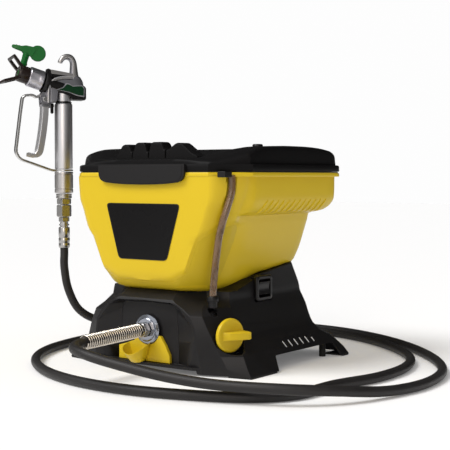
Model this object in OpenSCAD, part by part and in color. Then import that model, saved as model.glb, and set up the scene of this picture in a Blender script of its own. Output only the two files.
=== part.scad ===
// Airless paint sprayer: a hopper machine with a piston pump, a spray gun and the hose that joins them.
// Millimetres, +Z up, front of the machine toward -Y. Origin: centre of the machine base, on the floor.

/* [Tank] */
// Half width of the tank under its rim
tank_half_w = 149; // [146:1:152]
// Front face of the tank, measured forward from the centre
tank_front = 141; // [140:0.5:143]
// Rear face of the tank, measured back from the centre
tank_rear = 152; // [150:1:154]
// Height of the flat underside of the tank above the floor
tank_bottom_z = 112; // [111:0.5:114]
// Height of the underside of the tank rim
rim_z = 270; // [268:1:272]
// Thickness of the tank rim
rim_t = 6; // [5:0.5:7]
// How far the rim stands out past the tank wall
rim_out = 8; // [7:0.5:9]
// Wall thickness of the tank
tank_wall = 3; // [2.5:0.1:3.5]
// Length of the cut corner of the rim along each side
rim_corner = 43; // [40:1:46]
// Number of grip ribs on each side of the tank
grip_ribs = 12; // [8:1:14]
// Bore of the tank outlet
outlet_bore = 30; // [26:1:34]

/* [Label plate] */
// Half width of the label plate at its top edge
label_top = 66; // [60:1:70]
// Half width of the label plate at its bottom edge
label_foot = 43; // [38:1:46]
// Height of the label plate
label_h = 78; // [70:1:80]
// Thickness of the label plate
label_t = 1.2; // [0.8:0.1:2]

/* [Lid] */
// Thickness of the lid flange
flange_t = 10; // [8:0.5:12]
// Height of the lit lip at the front of the lid body
lid_lip_h = 6.5; // [5:0.5:8]
// Wall thickness of the lid
lid_wall = 3; // [2.5:0.1:3.5]
// Height of the gun rest crests above the lid body
crest_h = 21; // [16:1:22]
// Front of the gun rest, measured forward from the centre
rest_y0 = 114; // [110:1:118]
// Rear of the gun rest, measured forward from the centre
rest_y1 = 90; // [86:1:96]
// Diameter of the lift peg
peg_d = 15; // [12:1:17]
// Half width of the lift tab at the front
tab_half_w = 77; // [70:1:80]
// Drop of the lift tab below the lid flange
tab_drop = 18; // [14:1:20]
// Thickness of the lift tab
tab_t = 4.7; // [4:0.1:6]
// Depth of the locating skirt that hangs inside the tank mouth
skirt_h = 9; // [6:1:12]
// Gap between the locating skirt and the tank wall
skirt_gap = 0.8; // [0.4:0.1:1.5]
// Thickness of the lid seal
seal_t = 1; // [0.6:0.1:1.5]

/* [Base] */
// Wall thickness of the base housing
base_wall = 3; // [2.5:0.1:3.5]
// Height of the side arches
arch_h = 20; // [16:1:22]
// Depth of the rubber feet below the housing
foot_h = 2; // [1.5:0.1:3]
// Diameter of the two pin feet
pin_foot_d = 10; // [8:0.5:12]
// Number of cooling slots on each side
slot_count = 6; // [4:1:7]
// Width of a cooling slot
slot_w = 5; // [4:0.5:6]
// Front face of the outlet panel, measured forward from the centre
panel_y = 126; // [124:0.5:127]
// Thickness of the outlet panel
panel_t = 3; // [2.5:0.1:4]

/* [Outlet and hose] */
// Height of the paint outlet
outlet_z = 57; // [55:0.5:59]
// Diameter of the outlet disc
disc_d = 42; // [38:1:44]
// Thickness of the outlet disc
disc_t = 6; // [5:0.5:8]
// Size across flats of the hose nut
nut_af = 19; // [17:0.5:20]
// Length of the hose nut
nut_len = 14; // [12:1:16]
// Outer diameter of the hose
hose_d = 13.4; // [12.6:0.2:13.6]
// Outer diameter of the hose guard spring
spring_d = 20; // [19:0.5:21]
// Wire thickness of the guard spring
spring_wire = 2.2; // [1.8:0.1:2.4]
// Length of the guard spring
spring_len = 112; // [104:1:116]
// Turns of the guard spring
spring_turns = 26; // [20:1:28]

/* [Controls] */
// Diameter of the prime and spray knob
knob_d = 47; // [44:1:48]
// Thickness of the knob disc
knob_t = 7; // [5:0.5:8]
// How far the knob fin stands out from the disc
fin_h = 18; // [14:1:20]
// Thickness of the knob fin
fin_t = 7; // [5:0.5:9]
// Diameter of the knob stem
stem_d = 10; // [8:0.5:12]
// Width of the power switch frame
switch_w = 40; // [36:1:42]
// Height of the power switch frame
switch_h = 36; // [34:1:38]
// Diameter of the return tube
return_d = 10; // [9:0.5:10.5]

/* [Drive] */
// Diameter of the motor can
motor_d = 78; // [70:1:80]
// Length of the motor can
motor_len = 72; // [60:1:74]
// Teeth on the motor pinion
pinion_teeth = 12; // [12:1:12]
// Teeth on the drive gear
gear_teeth = 48; // [48:1:48]
// Gear module: pitch diameter over teeth
gear_module = 1.3; // [1.2:0.05:1.35]
// Throw of the eccentric
throw = 4; // [3:0.5:4.5]
// Diameter of the piston
piston_d = 14; // [12:0.5:16]

/* [Gun] */
// Outer diameter of the gun handle tube
handle_d = 29.4; // [28:0.2:30]
// Inner diameter of the gun handle tube
handle_bore = 22; // [20:0.5:23]
// Height of the handle tube above the floor at its lower end
handle_z0 = 282; // [280:1:284]
// Height of the handle tube above the floor at its upper end
handle_z1 = 391; // [389:1:392]
// Angle of the gun nose above the horizontal
nose_pitch = 17; // [15:1:18]
// Width of the gun head
head_w = 26; // [24:1:27]
// Outer diameter of the retaining nut
retaining_d = 33; // [31:1:34]
// Diameter of the spray tip stem
tip_d = 10; // [9:0.5:10.5]
// Diameter of the trigger pivot pin
pin_d = 5; // [4:0.5:6]
// Wall thickness of the trigger channel
trigger_wall = 1.6; // [1.2:0.1:2]
// Width of the trigger guard strip
guard_w = 10; // [8:1:12]
// Thickness of the trigger guard strip
guard_t = 3; // [2.5:0.1:3.5]

/* [Fits] */
// Gap between pieces that are seated on each other
seat_gap = 0.3; // [0.2:0.05:0.4]
// Radial running clearance of pins and shafts in their bores
run_gap = 0.05; // [0.02:0.01:0.1]
// Gap between moving bodies
move_gap = 0.5; // [0.3:0.05:0.8]

/* [Hidden] */
big = 400;
corner_steps = 5;
// How far the corners of the tank bow out from a flat cut
tank_bow = 0.3;
// Length over which the side of the tank swells out behind its front corner
shelf_run = 16;

// ---------- outlines and lofts ----------
function mid(a, b, t = 0.5) = a + (b - a) * t;
// Points from a to b that bow toward the corner point c: bow 0 is a flat cut, bow 1 is round
function corner_arc(a, b, c, bow) =
    let (m = mid((a + b) / 2, c, bow))
    [for (i = [0:corner_steps]) let (t = i / corner_steps)
        (1 - t) * (1 - t) * a + 2 * t * (1 - t) * m + t * t * b];
// Half outline on the +X side, front to rear; s = [front half width, half width at the front corner, front y,
// rear y, front corner depth, rear corner cut, half width just behind the front corner, half width at the rear]
function side_w(s) = len(s) > 6 ? s[6] : s[1];
function rear_w(s) = len(s) > 7 ? s[7] : side_w(s);
function half_ring(s, bow) = let (w = rear_w(s)) concat(
    corner_arc([s[0], s[2]], [s[1], s[2] + s[4]], [s[1], s[2]], bow),
    [[side_w(s), s[2] + s[4] + shelf_run]],
    corner_arc([w, s[3] - s[5]], [w - s[5], s[3]], [w, s[3]], 0.7));
function ring(s, bow) = let (h = half_ring(s, bow))
    concat(h, [for (i = [len(h) - 1:-1:0]) [-h[i].x, h[i].y]]);
// The section s drawn in by a wall w
function shrink(s, w) = [s[0] - w, s[1] - w, s[2] + w, s[3] - w, s[4], s[5], side_w(s) - w, rear_w(s) - w];
// Skin through a stack of outlines; rows = [[z at the front, section, rise per mm toward the rear], ...]
module loft(rows, bow) {
    rings = [for (r = rows) ring(r[1], bow)];
    n = len(rings[0]);
    m = len(rings);
    points = [for (i = [0:m - 1]) let (r = rows[i], rise = len(r) > 2 ? r[2] : 0)
        for (p = rings[i]) [p.x, p.y, r[0] + rise * (p.y - r[1][2])]];
    sides = [for (i = [0:m - 2]) for (j = [0:n - 1])
        let (a = i * n + j, b = i * n + (j + 1) % n)
        each [[a, a + n, b + n], [a, b + n, b]]];
    foot = [for (j = [0:n - 1]) j];
    top = [for (j = [n - 1:-1:0]) (m - 1) * n + j];
    polyhedron(points = points, faces = concat([foot], sides, [top]), convexity = 6);
}
// Solid of a side view outline, points = [y, z], between x0 and x1
module side_prism(points, x0, x1)
    translate([x0, 0, 0]) rotate([90, 0, 90]) linear_extrude(x1 - x0) polygon(points);
// Solid of a front view outline, points = [x, z], between y0 and y1
module front_prism(points, y0, y1)
    translate([0, y1, 0]) rotate([90, 0, 0]) linear_extrude(y1 - y0) polygon(points);
// Mirrored pair of an x-side solid
module both_sides() { children(); mirror([1, 0, 0]) children(); }
// Outline of half an arch mirrored about x = 0; points run from the centre outward
function arch(points) = concat(points, [for (i = [len(points) - 1:-1:0]) [-points[i].x, points[i].y]]);

// Strip of thickness t along a path of [x, y] points
function normal_at(path, i) =
    let (a = path[max(i - 1, 0)], b = path[min(i + 1, len(path) - 1)], d = (b - a) / norm(b - a))
    [-d.y, d.x];
function strip(path, t) = concat(
    [for (i = [0:len(path) - 1]) path[i] + normal_at(path, i) * t / 2],
    [for (i = [len(path) - 1:-1:0]) path[i] - normal_at(path, i) * t / 2]);
// Rounds each inner corner of a path with a short curve of reach r
function soften(path, r) = concat([path[0]],
    [for (i = [1:len(path) - 2])
        let (p = path[i],
             a = p + (path[i - 1] - p) / norm(path[i - 1] - p) * r,
             b = p + (path[i + 1] - p) / norm(path[i + 1] - p) * r)
        each [for (t = [0:0.25:1]) (1 - t) * (1 - t) * a + 2 * t * (1 - t) * p + t * t * b]],
    [path[len(path) - 1]]);

// ---------- tubes along a route ----------
function unit(v) = v / norm(v);
function dir_at(route, i) = unit(route[min(i + 1, len(route) - 1)] - route[max(i - 1, 0)]);
// Catmull-Rom points, steps per span
function smooth_route(p, steps) = concat(
    [for (i = [0:len(p) - 2]) for (k = [0:steps - 1])
        let (t = k / steps, a = p[max(i - 1, 0)], b = p[i], c = p[i + 1], d = p[min(i + 2, len(p) - 1)])
        0.5 * (2 * b + (c - a) * t + (2 * a - 5 * b + 4 * c - d) * t * t + (3 * b - a - 3 * c + d) * t * t * t)],
    [p[len(p) - 1]]);
// A side vector carried along the route so that the rings don't twist
function carried(route, i) = i == 0
    ? unit(cross(dir_at(route, 0), abs(dir_at(route, 0).z) > 0.9 ? [1, 0, 0] : [0, 0, 1]))
    : let (s = carried(route, i - 1), d = dir_at(route, i)) unit(s - d * (s * d));
module tube(route, d, sides) {
    n = len(route);
    frames = [for (i = 0, s = carried(route, 0); i < n;
        i = i + 1, s = let (t = dir_at(route, min(i, n - 1))) unit(s - t * (s * t))) s];
    points = [for (i = [0:n - 1]) let (s = frames[i], u = cross(dir_at(route, i), s))
        for (k = [0:sides - 1]) let (a = 360 * k / sides)
        route[i] + (s * cos(a) + u * sin(a)) * d / 2];
    walls = [for (i = [0:n - 2]) for (k = [0:sides - 1])
        let (a = i * sides + k, b = i * sides + (k + 1) % sides)
        each [[a, a + sides, b + sides], [a, b + sides, b]]];
    polyhedron(points = points, faces = concat([[for (k = [0:sides - 1]) k]], walls,
        [[for (k = [sides - 1:-1:0]) (n - 1) * sides + k]]), convexity = 10);
}

// ---------- tank sections ----------
rim_top = rim_z + rim_t;
// Underside of the tank, which the top of the base follows: [y, z]
seat_line = [[-200, tank_bottom_z], [-52, tank_bottom_z], [-4, tank_bottom_z + 18],
    [86, tank_bottom_z + 31], [200, tank_bottom_z + 46]];
band_front = tank_half_w - 36;
tank_rows = [
    [tank_bottom_z, [44, 79, 22 - tank_front, 96, 28, 16]],
    [tank_bottom_z + 6, [50, 86, 8 - tank_front, 100, 34, 16]],
    [tank_bottom_z + 15, [56, 91, 2 - tank_front, 102, 38, 17]],
    [tank_bottom_z + 29, [71, 98, -tank_front, 105, 40, 18]],
    [tank_bottom_z + 53, [82, 110, -tank_front, 109, 40, 20, 110, 109]],
    [tank_bottom_z + 72, [90, 119, -tank_front, 112, 40, 22, 118, 115]],
    [tank_bottom_z + 93, [99, 126, -tank_front, 116, 41, 23, 124, 120]],
    [rim_z - 53, [103, 130, -tank_front, 118, 42, 23, 127, 123]],
    [rim_z - 49, [105, 133, -tank_front, tank_rear - 16, 43, 26, tank_half_w - 11, tank_half_w - 11]],
    [rim_z - 40, [108, 137, -tank_front, tank_rear - 5, 44, 26, tank_half_w - 4, tank_half_w - 4]],
    [rim_z - 32, [band_front - 2, 140, -tank_front, tank_rear - 2, 45, 26, tank_half_w - 1, tank_half_w - 1]],
    [rim_z, [band_front, tank_half_w - 4, -tank_front, tank_rear, 48, 28, tank_half_w, tank_half_w]]];
rim_section = [tank_half_w + rim_out - rim_corner, tank_half_w + rim_out, -tank_front - 1,
    tank_rear + rim_out, rim_corner, rim_corner - 6];
mouth_section = shrink(tank_rows[len(tank_rows) - 1][1], tank_wall);
function rows_shrunk(rows, w) = [for (r = rows) [r[0], shrink(r[1], w)]];

// ---------- base sections ----------
// Lower edge of the front recess
recess_z = 12;
floor_t = 4;
base_rows = [
    [foot_h, [134, 164, -119, 166, 6, 18]],
    [14, [128, 156, -120, 164, 10, 20]],
    [28, [122, 146, -123, 154, 18, 24]],
    [40, [117, 134, -126, 138, 28, 26]],
    [50, [114, 125, -128, 129, 38, 22]],
    [57, [111, 122, -130, 127, 44, 22]],
    [80, [100, 114, -133, 123, 50, 20]],
    [96, [89, 107, -132, 120, 50, 20]],
    [100, [84, 106, -129, 119, 46, 20]],
    [108, [70, 106, -118, 118, 38, 20]],
    [170, [62, 103, -112, 98, 38, 18]]];
base_bow = 0.05;
// Mains gland in the rear wall: [x, z]
gland_at = [-60, 66];
// Everything under the sloping seat of the tank, lowered by drop
module under_seat(drop) side_prism(concat([for (p = seat_line) [p.x, p.y - drop]], [[200, -5], [-200, -5]]),
    -200, 200);

// ---------- placement of the controls, outlet and gun ----------
knob_at = [119, -103, 55];
knob_turn = -13;
module at_knob() translate(knob_at) rotate([0, 0, knob_turn]) rotate([0, 90, 0]) children();
switch_at = [107, -2, 111];
disc_y = -panel_y - disc_t - seat_gap;
nut_y = disc_y - 4;
spring_y0 = nut_y - nut_len;
spring_y1 = spring_y0 - spring_len;
gun_at = [-307, 23];
gun_heading = 240.7;
nose_z = 416;
module at_gun() translate([gun_at.x, gun_at.y, 0]) rotate([0, 0, gun_heading]) children();
// +X runs forward along the nose, origin on the handle axis
module at_nose() at_gun() translate([0, 0, nose_z]) rotate([0, -nose_pitch, 0]) children();
module along_nose(n0, n1, d, fn = 48) translate([n0, 0, 0]) rotate([0, 90, 0]) cylinder(h = n1 - n0, d = d, $fn = fn);

crank_at = [0, -14, 62];
motor_at = [crank_at.x, crank_at.y + gear_module * (gear_teeth + pinion_teeth) / 2, crank_at.z];
module along_x(x0, x1, y, z, d, fn = 48) translate([x0, y, z]) rotate([0, 90, 0]) cylinder(h = x1 - x0, d = d, $fn = fn);
module along_y(y0, y1, x, z, d, fn = 48) translate([x, y0, z]) rotate([-90, 0, 0]) cylinder(h = y1 - y0, d = d, $fn = fn);

// ---------- hose and return tube routes ----------
ferrule_z = 152;
hose_route = [
    [0, nut_y - 9, outlet_z], [0, -200, 56], [0, -262, 54], [16, -296, 52], [50, -308, 48], [90, -301, 40],
    [156, -285, 29], [220, -266, 23], [290, -236, 21], [336, -190, 17], [366, -120, 9], [378, -40, 7],
    [362, 50, 7], [316, 134, 7], [240, 218, 7], [150, 284, 7], [50, 326, 7], [-50, 332, 7],
    [-140, 300, 7], [-205, 240, 7], [-236, 160, 7], [-244, 70, 7], [-238, -20, 7], [-212, -112, 7],
    [-160, -190, 7], [-80, -250, 7], [10, -282, 7], [105, -286, 7], [190, -266, 7], [250, -238, 7],
    [284, -190, 7], [290, -110, 7], [308, -30, 7], [304, 54, 7], [274, 134, 7], [214, 206, 7],
    [130, 268, 7], [40, 302, 7], [-60, 302, 9], [-145, 270, 17], [-205, 218, 22], [-248, 150, 22],
    [-278, 90, 24], [-296, 50, 44], [-304, 30, 80], [gun_at.x, gun_at.y, 118],
    [gun_at.x, gun_at.y, ferrule_z - 8], [gun_at.x, gun_at.y, ferrule_z + 20]];
tube_socket_at = [98, -110];
return_top = [136, -119];
return_route = [[tube_socket_at.x, tube_socket_at.y, 96], [tube_socket_at.x, tube_socket_at.y, 106],
    [100, -111, 122], [107, -117, 146], [113, -121, 168], [119, -124, 190], [127, -127, 210],
    [132, -124, 228], [return_top.x, return_top.y, 250], [return_top.x, return_top.y, 272]];

// ---------- tank ----------
module tank_groove() tube([for (p = smooth_route(return_route, 2)) p], return_d + 3, 10);
// Slanted grip ribs that stand out of the side wall above the shelf
rib_h = 1.2;
rib_y0 = -62;
rib_span = 170;
module grip_rib_row() intersection() {
    loft(rows_shrunk(tank_rows, -rib_h), tank_bow);
    translate([0, 0, rim_z - 49]) cube([big, big, 17]);
    for (i = [0:grip_ribs - 1])
        translate([tank_half_w - 20, rib_y0 + i * rib_span / grip_ribs, rim_z - 52])
            rotate([-28, 0, 0]) cube([30, 2.6, 26]);
}
module tank() color("gold") difference() {
    union() {
        difference() {
            loft(tank_rows, tank_bow);
            under_seat(0);
        }
        translate([0, 0, rim_z]) linear_extrude(rim_t) polygon(ring(rim_section, 0.06));
        both_sides() grip_rib_row();
    }
    // Hopper inside, with its floor above the sloping underside
    difference() {
        loft(rows_shrunk(tank_rows, tank_wall), tank_bow - 0.15);
        under_seat(-4);
    }
    translate([0, 0, rim_z - 1]) linear_extrude(rim_t + 2) polygon(ring(mouth_section, 0.3));
    translate([0, -86, tank_bottom_z - 1]) cylinder(h = 8, d = outlet_bore, $fn = 48);
    tank_groove();
    translate([return_top.x, return_top.y, rim_z - 1]) cylinder(h = rim_t + 2, d = return_d + 3, $fn = 32);
}
module tank_seal() color("dimgray") translate([0, -86, tank_bottom_z - 6]) difference() {
    cylinder(h = 6, d = outlet_bore - 1, $fn = 48);
    translate([0, 0, -1]) cylinder(h = 8, d = 20, $fn = 48);
}
module inlet_strainer() color("silver") translate([0, -86, tank_bottom_z + 4]) difference() {
    union() {
        cylinder(h = 2, d = outlet_bore + 12, $fn = 48);
        cylinder(h = 9, d = outlet_bore - 4, $fn = 48);
    }
    translate([0, 0, -1]) cylinder(h = 8.4, d = outlet_bore - 8, $fn = 48);
    for (a = [0:60:300]) rotate([0, 0, a]) translate([7, 0, 6]) cylinder(h = 4, d = 3, $fn = 16);
    for (a = [0:45:315]) rotate([0, 0, a]) translate([outlet_bore / 2 - 4, 0, 5]) cube([4, 3, 4], center = true);
}
module label_plate() color("#1c1c1c")
    translate([0, -tank_front, rim_z - 37 - label_h]) rotate([90, 0, 0]) linear_extrude(label_t)
        hull() both_sides() {
            translate([label_foot - 5, 5]) circle(r = 5, $fn = 32);
            translate([label_top - 5, label_h - 5]) circle(r = 5, $fn = 32);
        }

// ---------- lid ----------
lid_z = rim_top + seal_t;
peg_at = [112, -22, lid_z + flange_t + lid_lip_h];
flange_top = lid_z + flange_t;
peg_top = flange_top + 29;
lid_section = [rim_section[0] - 3, rim_section[1] - 7, 5 - tank_front, tank_rear + rim_out - 9, rim_corner - 2, 34];
lid_rows = [
    [flange_top - 1, lid_section, 0],
    [flange_top + lid_lip_h, shrink(lid_section, 1), 0.03],
    [flange_top + lid_lip_h + 4, shrink(lid_section, 9), 0.045],
    [flange_top + lid_lip_h + 6.5, shrink(lid_section, 22), 0.05]];
rest_z = flange_top + lid_lip_h + 4;
// Each crest of the gun rest: [left foot, left shoulder, right shoulder, share of the full height]
crests = [[-72, -58, -48, 0.88], [-40, -35, -16, 1], [-8, -4, 18, 1], [28, 37, 51, 0.85]];
rest_end = 76;
function crest_outline(h) = soften(concat([[crests[0][0] - 3, -3]],
    [for (c = crests) each [[c[0], 0.38 * h * (c[0] > crests[0][0] ? 1 : 0.3)], [c[1], h * c[3]], [c[2], h * c[3]]]],
    [[rest_end, 0], [rest_end, -3]]), 2);
tab_outline = arch([[0, -tab_drop - flange_t], [40, 1 - tab_drop - flange_t], [tab_half_w - 11, 3.5 - tab_drop - flange_t],
    [tab_half_w - 3, 7 - tab_drop - flange_t], [tab_half_w, 13 - tab_drop - flange_t], [tab_half_w, 0]]);
module rest_block(h, inset) translate([0, -rest_y1 - inset, rest_z]) rotate([90, 0, 0])
    linear_extrude(rest_y0 - rest_y1 - 2 * inset) polygon(crest_outline(h));
module lid() color("#222222") difference() {
    union() {
        translate([0, 0, lid_z]) linear_extrude(flange_t) polygon(ring(rim_section, 0.06));
        loft(lid_rows, 0.12);
        rest_block(crest_h, 0);
        // Lift tab over the front of the rim
        translate([0, -tank_front - 1 - seat_gap, flange_top]) rotate([90, 0, 0]) linear_extrude(tab_t) polygon(tab_outline);
        translate([-tab_half_w, -tank_front - 2, lid_z]) cube([2 * tab_half_w, 3, flange_t]);
        // Locating skirt inside the mouth
        translate([0, 0, lid_z - skirt_h]) linear_extrude(skirt_h + 1) polygon(ring(shrink(mouth_section, skirt_gap), 0.1));
        // Lift peg
        translate(peg_at) cylinder(h = peg_top - peg_at.z, d = peg_d, $fn = 32);
    }
    // Hollow underside
    translate([0, 0, lid_z - skirt_h - 1]) linear_extrude(skirt_h + flange_t - 1.9)
        polygon(ring(shrink(mouth_section, skirt_gap + lid_wall), 0.1));
    loft([for (r = lid_rows) [r[0] - lid_wall, shrink(r[1], lid_wall + 2), r[2]]], 0.12);
    difference() {
        translate([0, 0, -lid_wall]) rest_block(crest_h, lid_wall);
        translate([-200, -200, 0]) cube([400, 400, rest_z - 2]);
    }
    // Room for the return tube at the front corner
    translate([return_top.x, return_top.y, lid_z - skirt_h - 2]) cylinder(h = skirt_h + 5, d = return_d + 4, $fn = 32);
}
module lid_seal() color("black") difference() {
    translate([0, 0, rim_top]) linear_extrude(seal_t) polygon(ring(shrink(rim_section, 1.5), 0.06));
    translate([0, 0, rim_top - 1]) linear_extrude(seal_t + 2) polygon(ring(mouth_section, 0.3));
    translate([return_top.x, return_top.y, rim_top - 1]) cylinder(h = seal_t + 2, d = return_d + 3, $fn = 32);
}

// ---------- base ----------
// Outline of the hood round the outlet: inner = the panel, outer = the front edge
hood_outer = arch([[0, 99], [52, 97], [77, 80], [90, 48], [93, recess_z]]);
hood_inner = arch([[0, 96], [47, 94], [51, 90], [52, 50], [52, recess_z]]);
side_arch = [[-46, -1], [-34, arch_h], [122, arch_h], [132, -1]];
module slot_row() for (i = [0:slot_count - 1])
    translate([120, 2 + i * 15, arch_h + 7]) cube([60, slot_w, 9]);
// Screws that hold the floor plate to the bosses of the housing: [x, y], mirrored
screw_at = [[100, -80], [88, 70]];
module at_screws() both_sides() for (p = screw_at) translate(p) children();
module base_housing() color("#2a2a2a") difference() {
    intersection() {
        loft(base_rows, base_bow);
        under_seat(seat_gap);
    }
    // Hollow inside, with the screw bosses left standing
    difference() {
        intersection() {
            loft(concat([[-1, shrink(base_rows[0][1], base_wall)]], rows_shrunk(base_rows, base_wall)), base_bow);
            under_seat(seat_gap + base_wall + 1);
            translate([-200, -panel_y + panel_t + seat_gap, -1]) cube([400, 300, 200]);
        }
        at_screws() translate([0, 0, recess_z]) cylinder(h = 200, d = 10, $fn = 32);
    }
    at_screws() cylinder(h = recess_z + 20, d = 4, $fn = 24);
    // Front recess that flares from the panel to the hood edge
    hull() {
        front_prism(hood_outer, -160, -138);
        front_prism(hood_inner, -160, -panel_y);
    }
    front_prism(hood_inner, -150, -panel_y + panel_t + 1);
    // Side arches between the legs, the rear arch and the front edge
    both_sides() side_prism(side_arch, 110, 200);
    front_prism(arch([[0, arch_h], [100, arch_h], [112, -1]]), 60, 200);
    front_prism(arch([[0, recess_z], [124, recess_z], [128, -1]]), -200, -90);
    both_sides() slot_row();
    // Knob seat
    at_knob() translate([0, 0, -4]) cylinder(h = 60, d = knob_d + 3, $fn = 64);
    at_knob() translate([0, 0, -14]) cylinder(h = 30, d = stem_d + 2 * move_gap, $fn = 32);
    // Flat seat and window of the switch
    translate([switch_at.x + 0.4 - seat_gap, switch_at.y - switch_w / 2 - seat_gap, switch_at.z - switch_h / 2 - seat_gap])
        cube([20, switch_w + 2 * seat_gap, switch_h + 2 * seat_gap]);
    translate([switch_at.x - 12, switch_at.y - switch_w / 2 + 3, switch_at.z - switch_h / 2 + 3])
        cube([30, switch_w - 6, switch_h - 6]);
    // Tank outlet
    translate([0, -86, tank_bottom_z - 12]) cylinder(h = 20, d = outlet_bore, $fn = 48);
    // Return tube
    translate([tube_socket_at.x, tube_socket_at.y, 80]) cylinder(h = 40, d = return_d + 3, $fn = 32);
    translate([tube_socket_at.x, tube_socket_at.y, 100 - seat_gap]) cylinder(h = 20, d = return_d + 6 + 2 * seat_gap, $fn = 32);
    // Mains gland at the rear
    along_y(80, 140, gland_at.x, gland_at.y, 16, 32);
}
// Half outline of the floor plate: [x, y], front to rear
floor_half = [[84, -138], [120, -114], [120, -60], [100, -40], [100, 92]];
module base_floor() color("#262626") difference() {
    translate([0, 0, recess_z - seat_gap - floor_t]) linear_extrude(floor_t)
        polygon(concat(floor_half, [for (i = [len(floor_half) - 1:-1:0]) [-floor_half[i].x, floor_half[i].y]]));
    for (x = [-60:20:60]) translate([x, 30, 0]) cube([6, 60, 30], center = true);
}
module outlet_panel() color("#1e1e1e") difference() {
    front_prism(hood_inner, -panel_y, -panel_y + panel_t);
    along_y(-200, 0, 0, outlet_z, 24, 48);
    front_prism([[-36, recess_z - 1], [36, recess_z - 1], [32, 24], [20, 29], [-20, 29], [-32, 24]], -200, 0);
}
cover_outline = [[-52, recess_z], [40, recess_z], [39, 24], [24, 48], [8, 52], [-10, 40], [-52, 31]];
// The drip scoop: a leaning funnel under the outlet
scoop_at = [-15, -panel_y - 5, 13];
scoop_lean = 20;
module at_scoop() translate(scoop_at) rotate([scoop_lean, 0, 0]) children();
module pump_cover() color("gold") difference() {
    union() {
        front_prism(cover_outline, -panel_y - 5.3, -panel_y - seat_gap);
        at_scoop() cylinder(h = 22, d1 = 26, d2 = 42, $fn = 64);
    }
    along_y(-200, 0, 0, outlet_z, disc_d + 1, 64);
    at_scoop() translate([0, 0, 3]) cylinder(h = 19.2, d1 = 20, d2 = 38, $fn = 64);
    at_scoop() translate([0, 0, 22]) cylinder(h = 20, d = 60, $fn = 64);
    translate([-60, -panel_y - seat_gap, 0]) cube([120, 60, 80]);
    translate([-60, -200, recess_z - 20]) cube([120, 100, 20]);
}
module rubber_feet() color("black") both_sides() linear_extrude(foot_h) intersection() {
    polygon(ring(shrink(base_rows[0][1], 1), base_bow));
    union() {
        translate([130, -118]) square([36, 70]);
        translate([130, 134]) square([36, 36]);
    }
}
pin_foot_at = [138, 114];
module pin_feet() color("black") both_sides()
    translate(pin_foot_at) cylinder(h = base_rows[2][0] - seat_gap, d = pin_foot_d, $fn = 32);

// ---------- drive ----------
motor_x0 = 24;
module motor_can() color("silver") difference() {
    along_x(motor_x0, motor_x0 + motor_len, motor_at.y, motor_at.z, motor_d, 64);
    along_x(motor_x0 + 3, motor_x0 + motor_len - 3, motor_at.y, motor_at.z, motor_d - 6, 64);
    along_x(motor_x0 - 1, motor_x0 + motor_len + 1, motor_at.y, motor_at.z, 8 + 2 * run_gap, 32);
    for (a = [0:60:300]) translate([motor_x0 + motor_len - 5, motor_at.y, motor_at.z]) rotate([a, 0, 0])
        translate([0, -4, 14]) cube([20, 8, 14]);
}
// Outline of a spur gear with straight-sided teeth, a running gap left at each flank
function gear_outline(teeth, m) = let (r = teeth * m / 2, w = 360 / teeth)
    [for (i = [0:teeth - 1]) for (q = [[-1.25, -0.24], [0.8, -0.1], [0.8, 0.1], [-1.25, 0.24]])
        let (a = (i + q.y) * w, d = r + q.x * m) [d * cos(a), d * sin(a)]];
module motor_rotor() color("#b87333") {
    along_x(motor_x0 + 12, motor_x0 + motor_len - 16, motor_at.y, motor_at.z, motor_d - 22, 48);
    along_x(10, motor_x0 + motor_len + 10, motor_at.y, motor_at.z, 8, 32);
    translate([9, motor_at.y, motor_at.z]) rotate([90, 0, 90]) linear_extrude(9) polygon(gear_outline(pinion_teeth, gear_module));
    along_x(motor_x0 + motor_len + 2, motor_x0 + motor_len + 5, motor_at.y, motor_at.z, 50, 48);
    for (a = [0:45:315]) translate([motor_x0 + motor_len + 5, motor_at.y, motor_at.z]) rotate([a, 0, 0])
        translate([0, -1, 5]) cube([5, 2, 19]);
}
case_points = [[crank_at.y - 36, 24], [motor_at.y + 14, 24], [motor_at.y + 14, 100], [crank_at.y - 36, 100]];
module gearbox_case() color("darkgray") difference() {
    side_prism(case_points, 4, 20);
    translate([7, crank_at.y - 33, 27]) cube([20, motor_at.y - crank_at.y + 44, 70]);
    along_x(0, 10, crank_at.y, crank_at.z, 10 + 2 * run_gap, 32);
}
module gearbox_cover() color("gray") difference() {
    side_prism(case_points, 20, motor_x0);
    along_x(10, 30, motor_at.y, motor_at.z, 18, 32);
    along_x(19, 22, crank_at.y, crank_at.z, 10 + 2 * run_gap, 32);
}
module drive_gear() color("goldenrod") {
    along_x(-10, 21.5, crank_at.y, crank_at.z, 10, 32);
    translate([10, crank_at.y, crank_at.z]) rotate([90, 0, 90]) rotate([0, 0, 180 / gear_teeth]) linear_extrude(8)
        polygon(gear_outline(gear_teeth, gear_module));
    along_x(-12, -3, crank_at.y, crank_at.z, 22, 48);
    along_x(-24, -12, crank_at.y, crank_at.z + throw, 9, 32);
}
yoke_x = -18;
module piston() color("silver") difference() {
    union() {
        translate([yoke_x - 4, crank_at.y - 19, crank_at.z - 15]) cube([8, 38, 30]);
        along_y(-88, crank_at.y - 18, yoke_x, crank_at.z, piston_d, 48);
    }
    translate([yoke_x - 10, crank_at.y - 14.5, crank_at.z - 10.5]) cube([20, 29, 21]);
}
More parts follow.
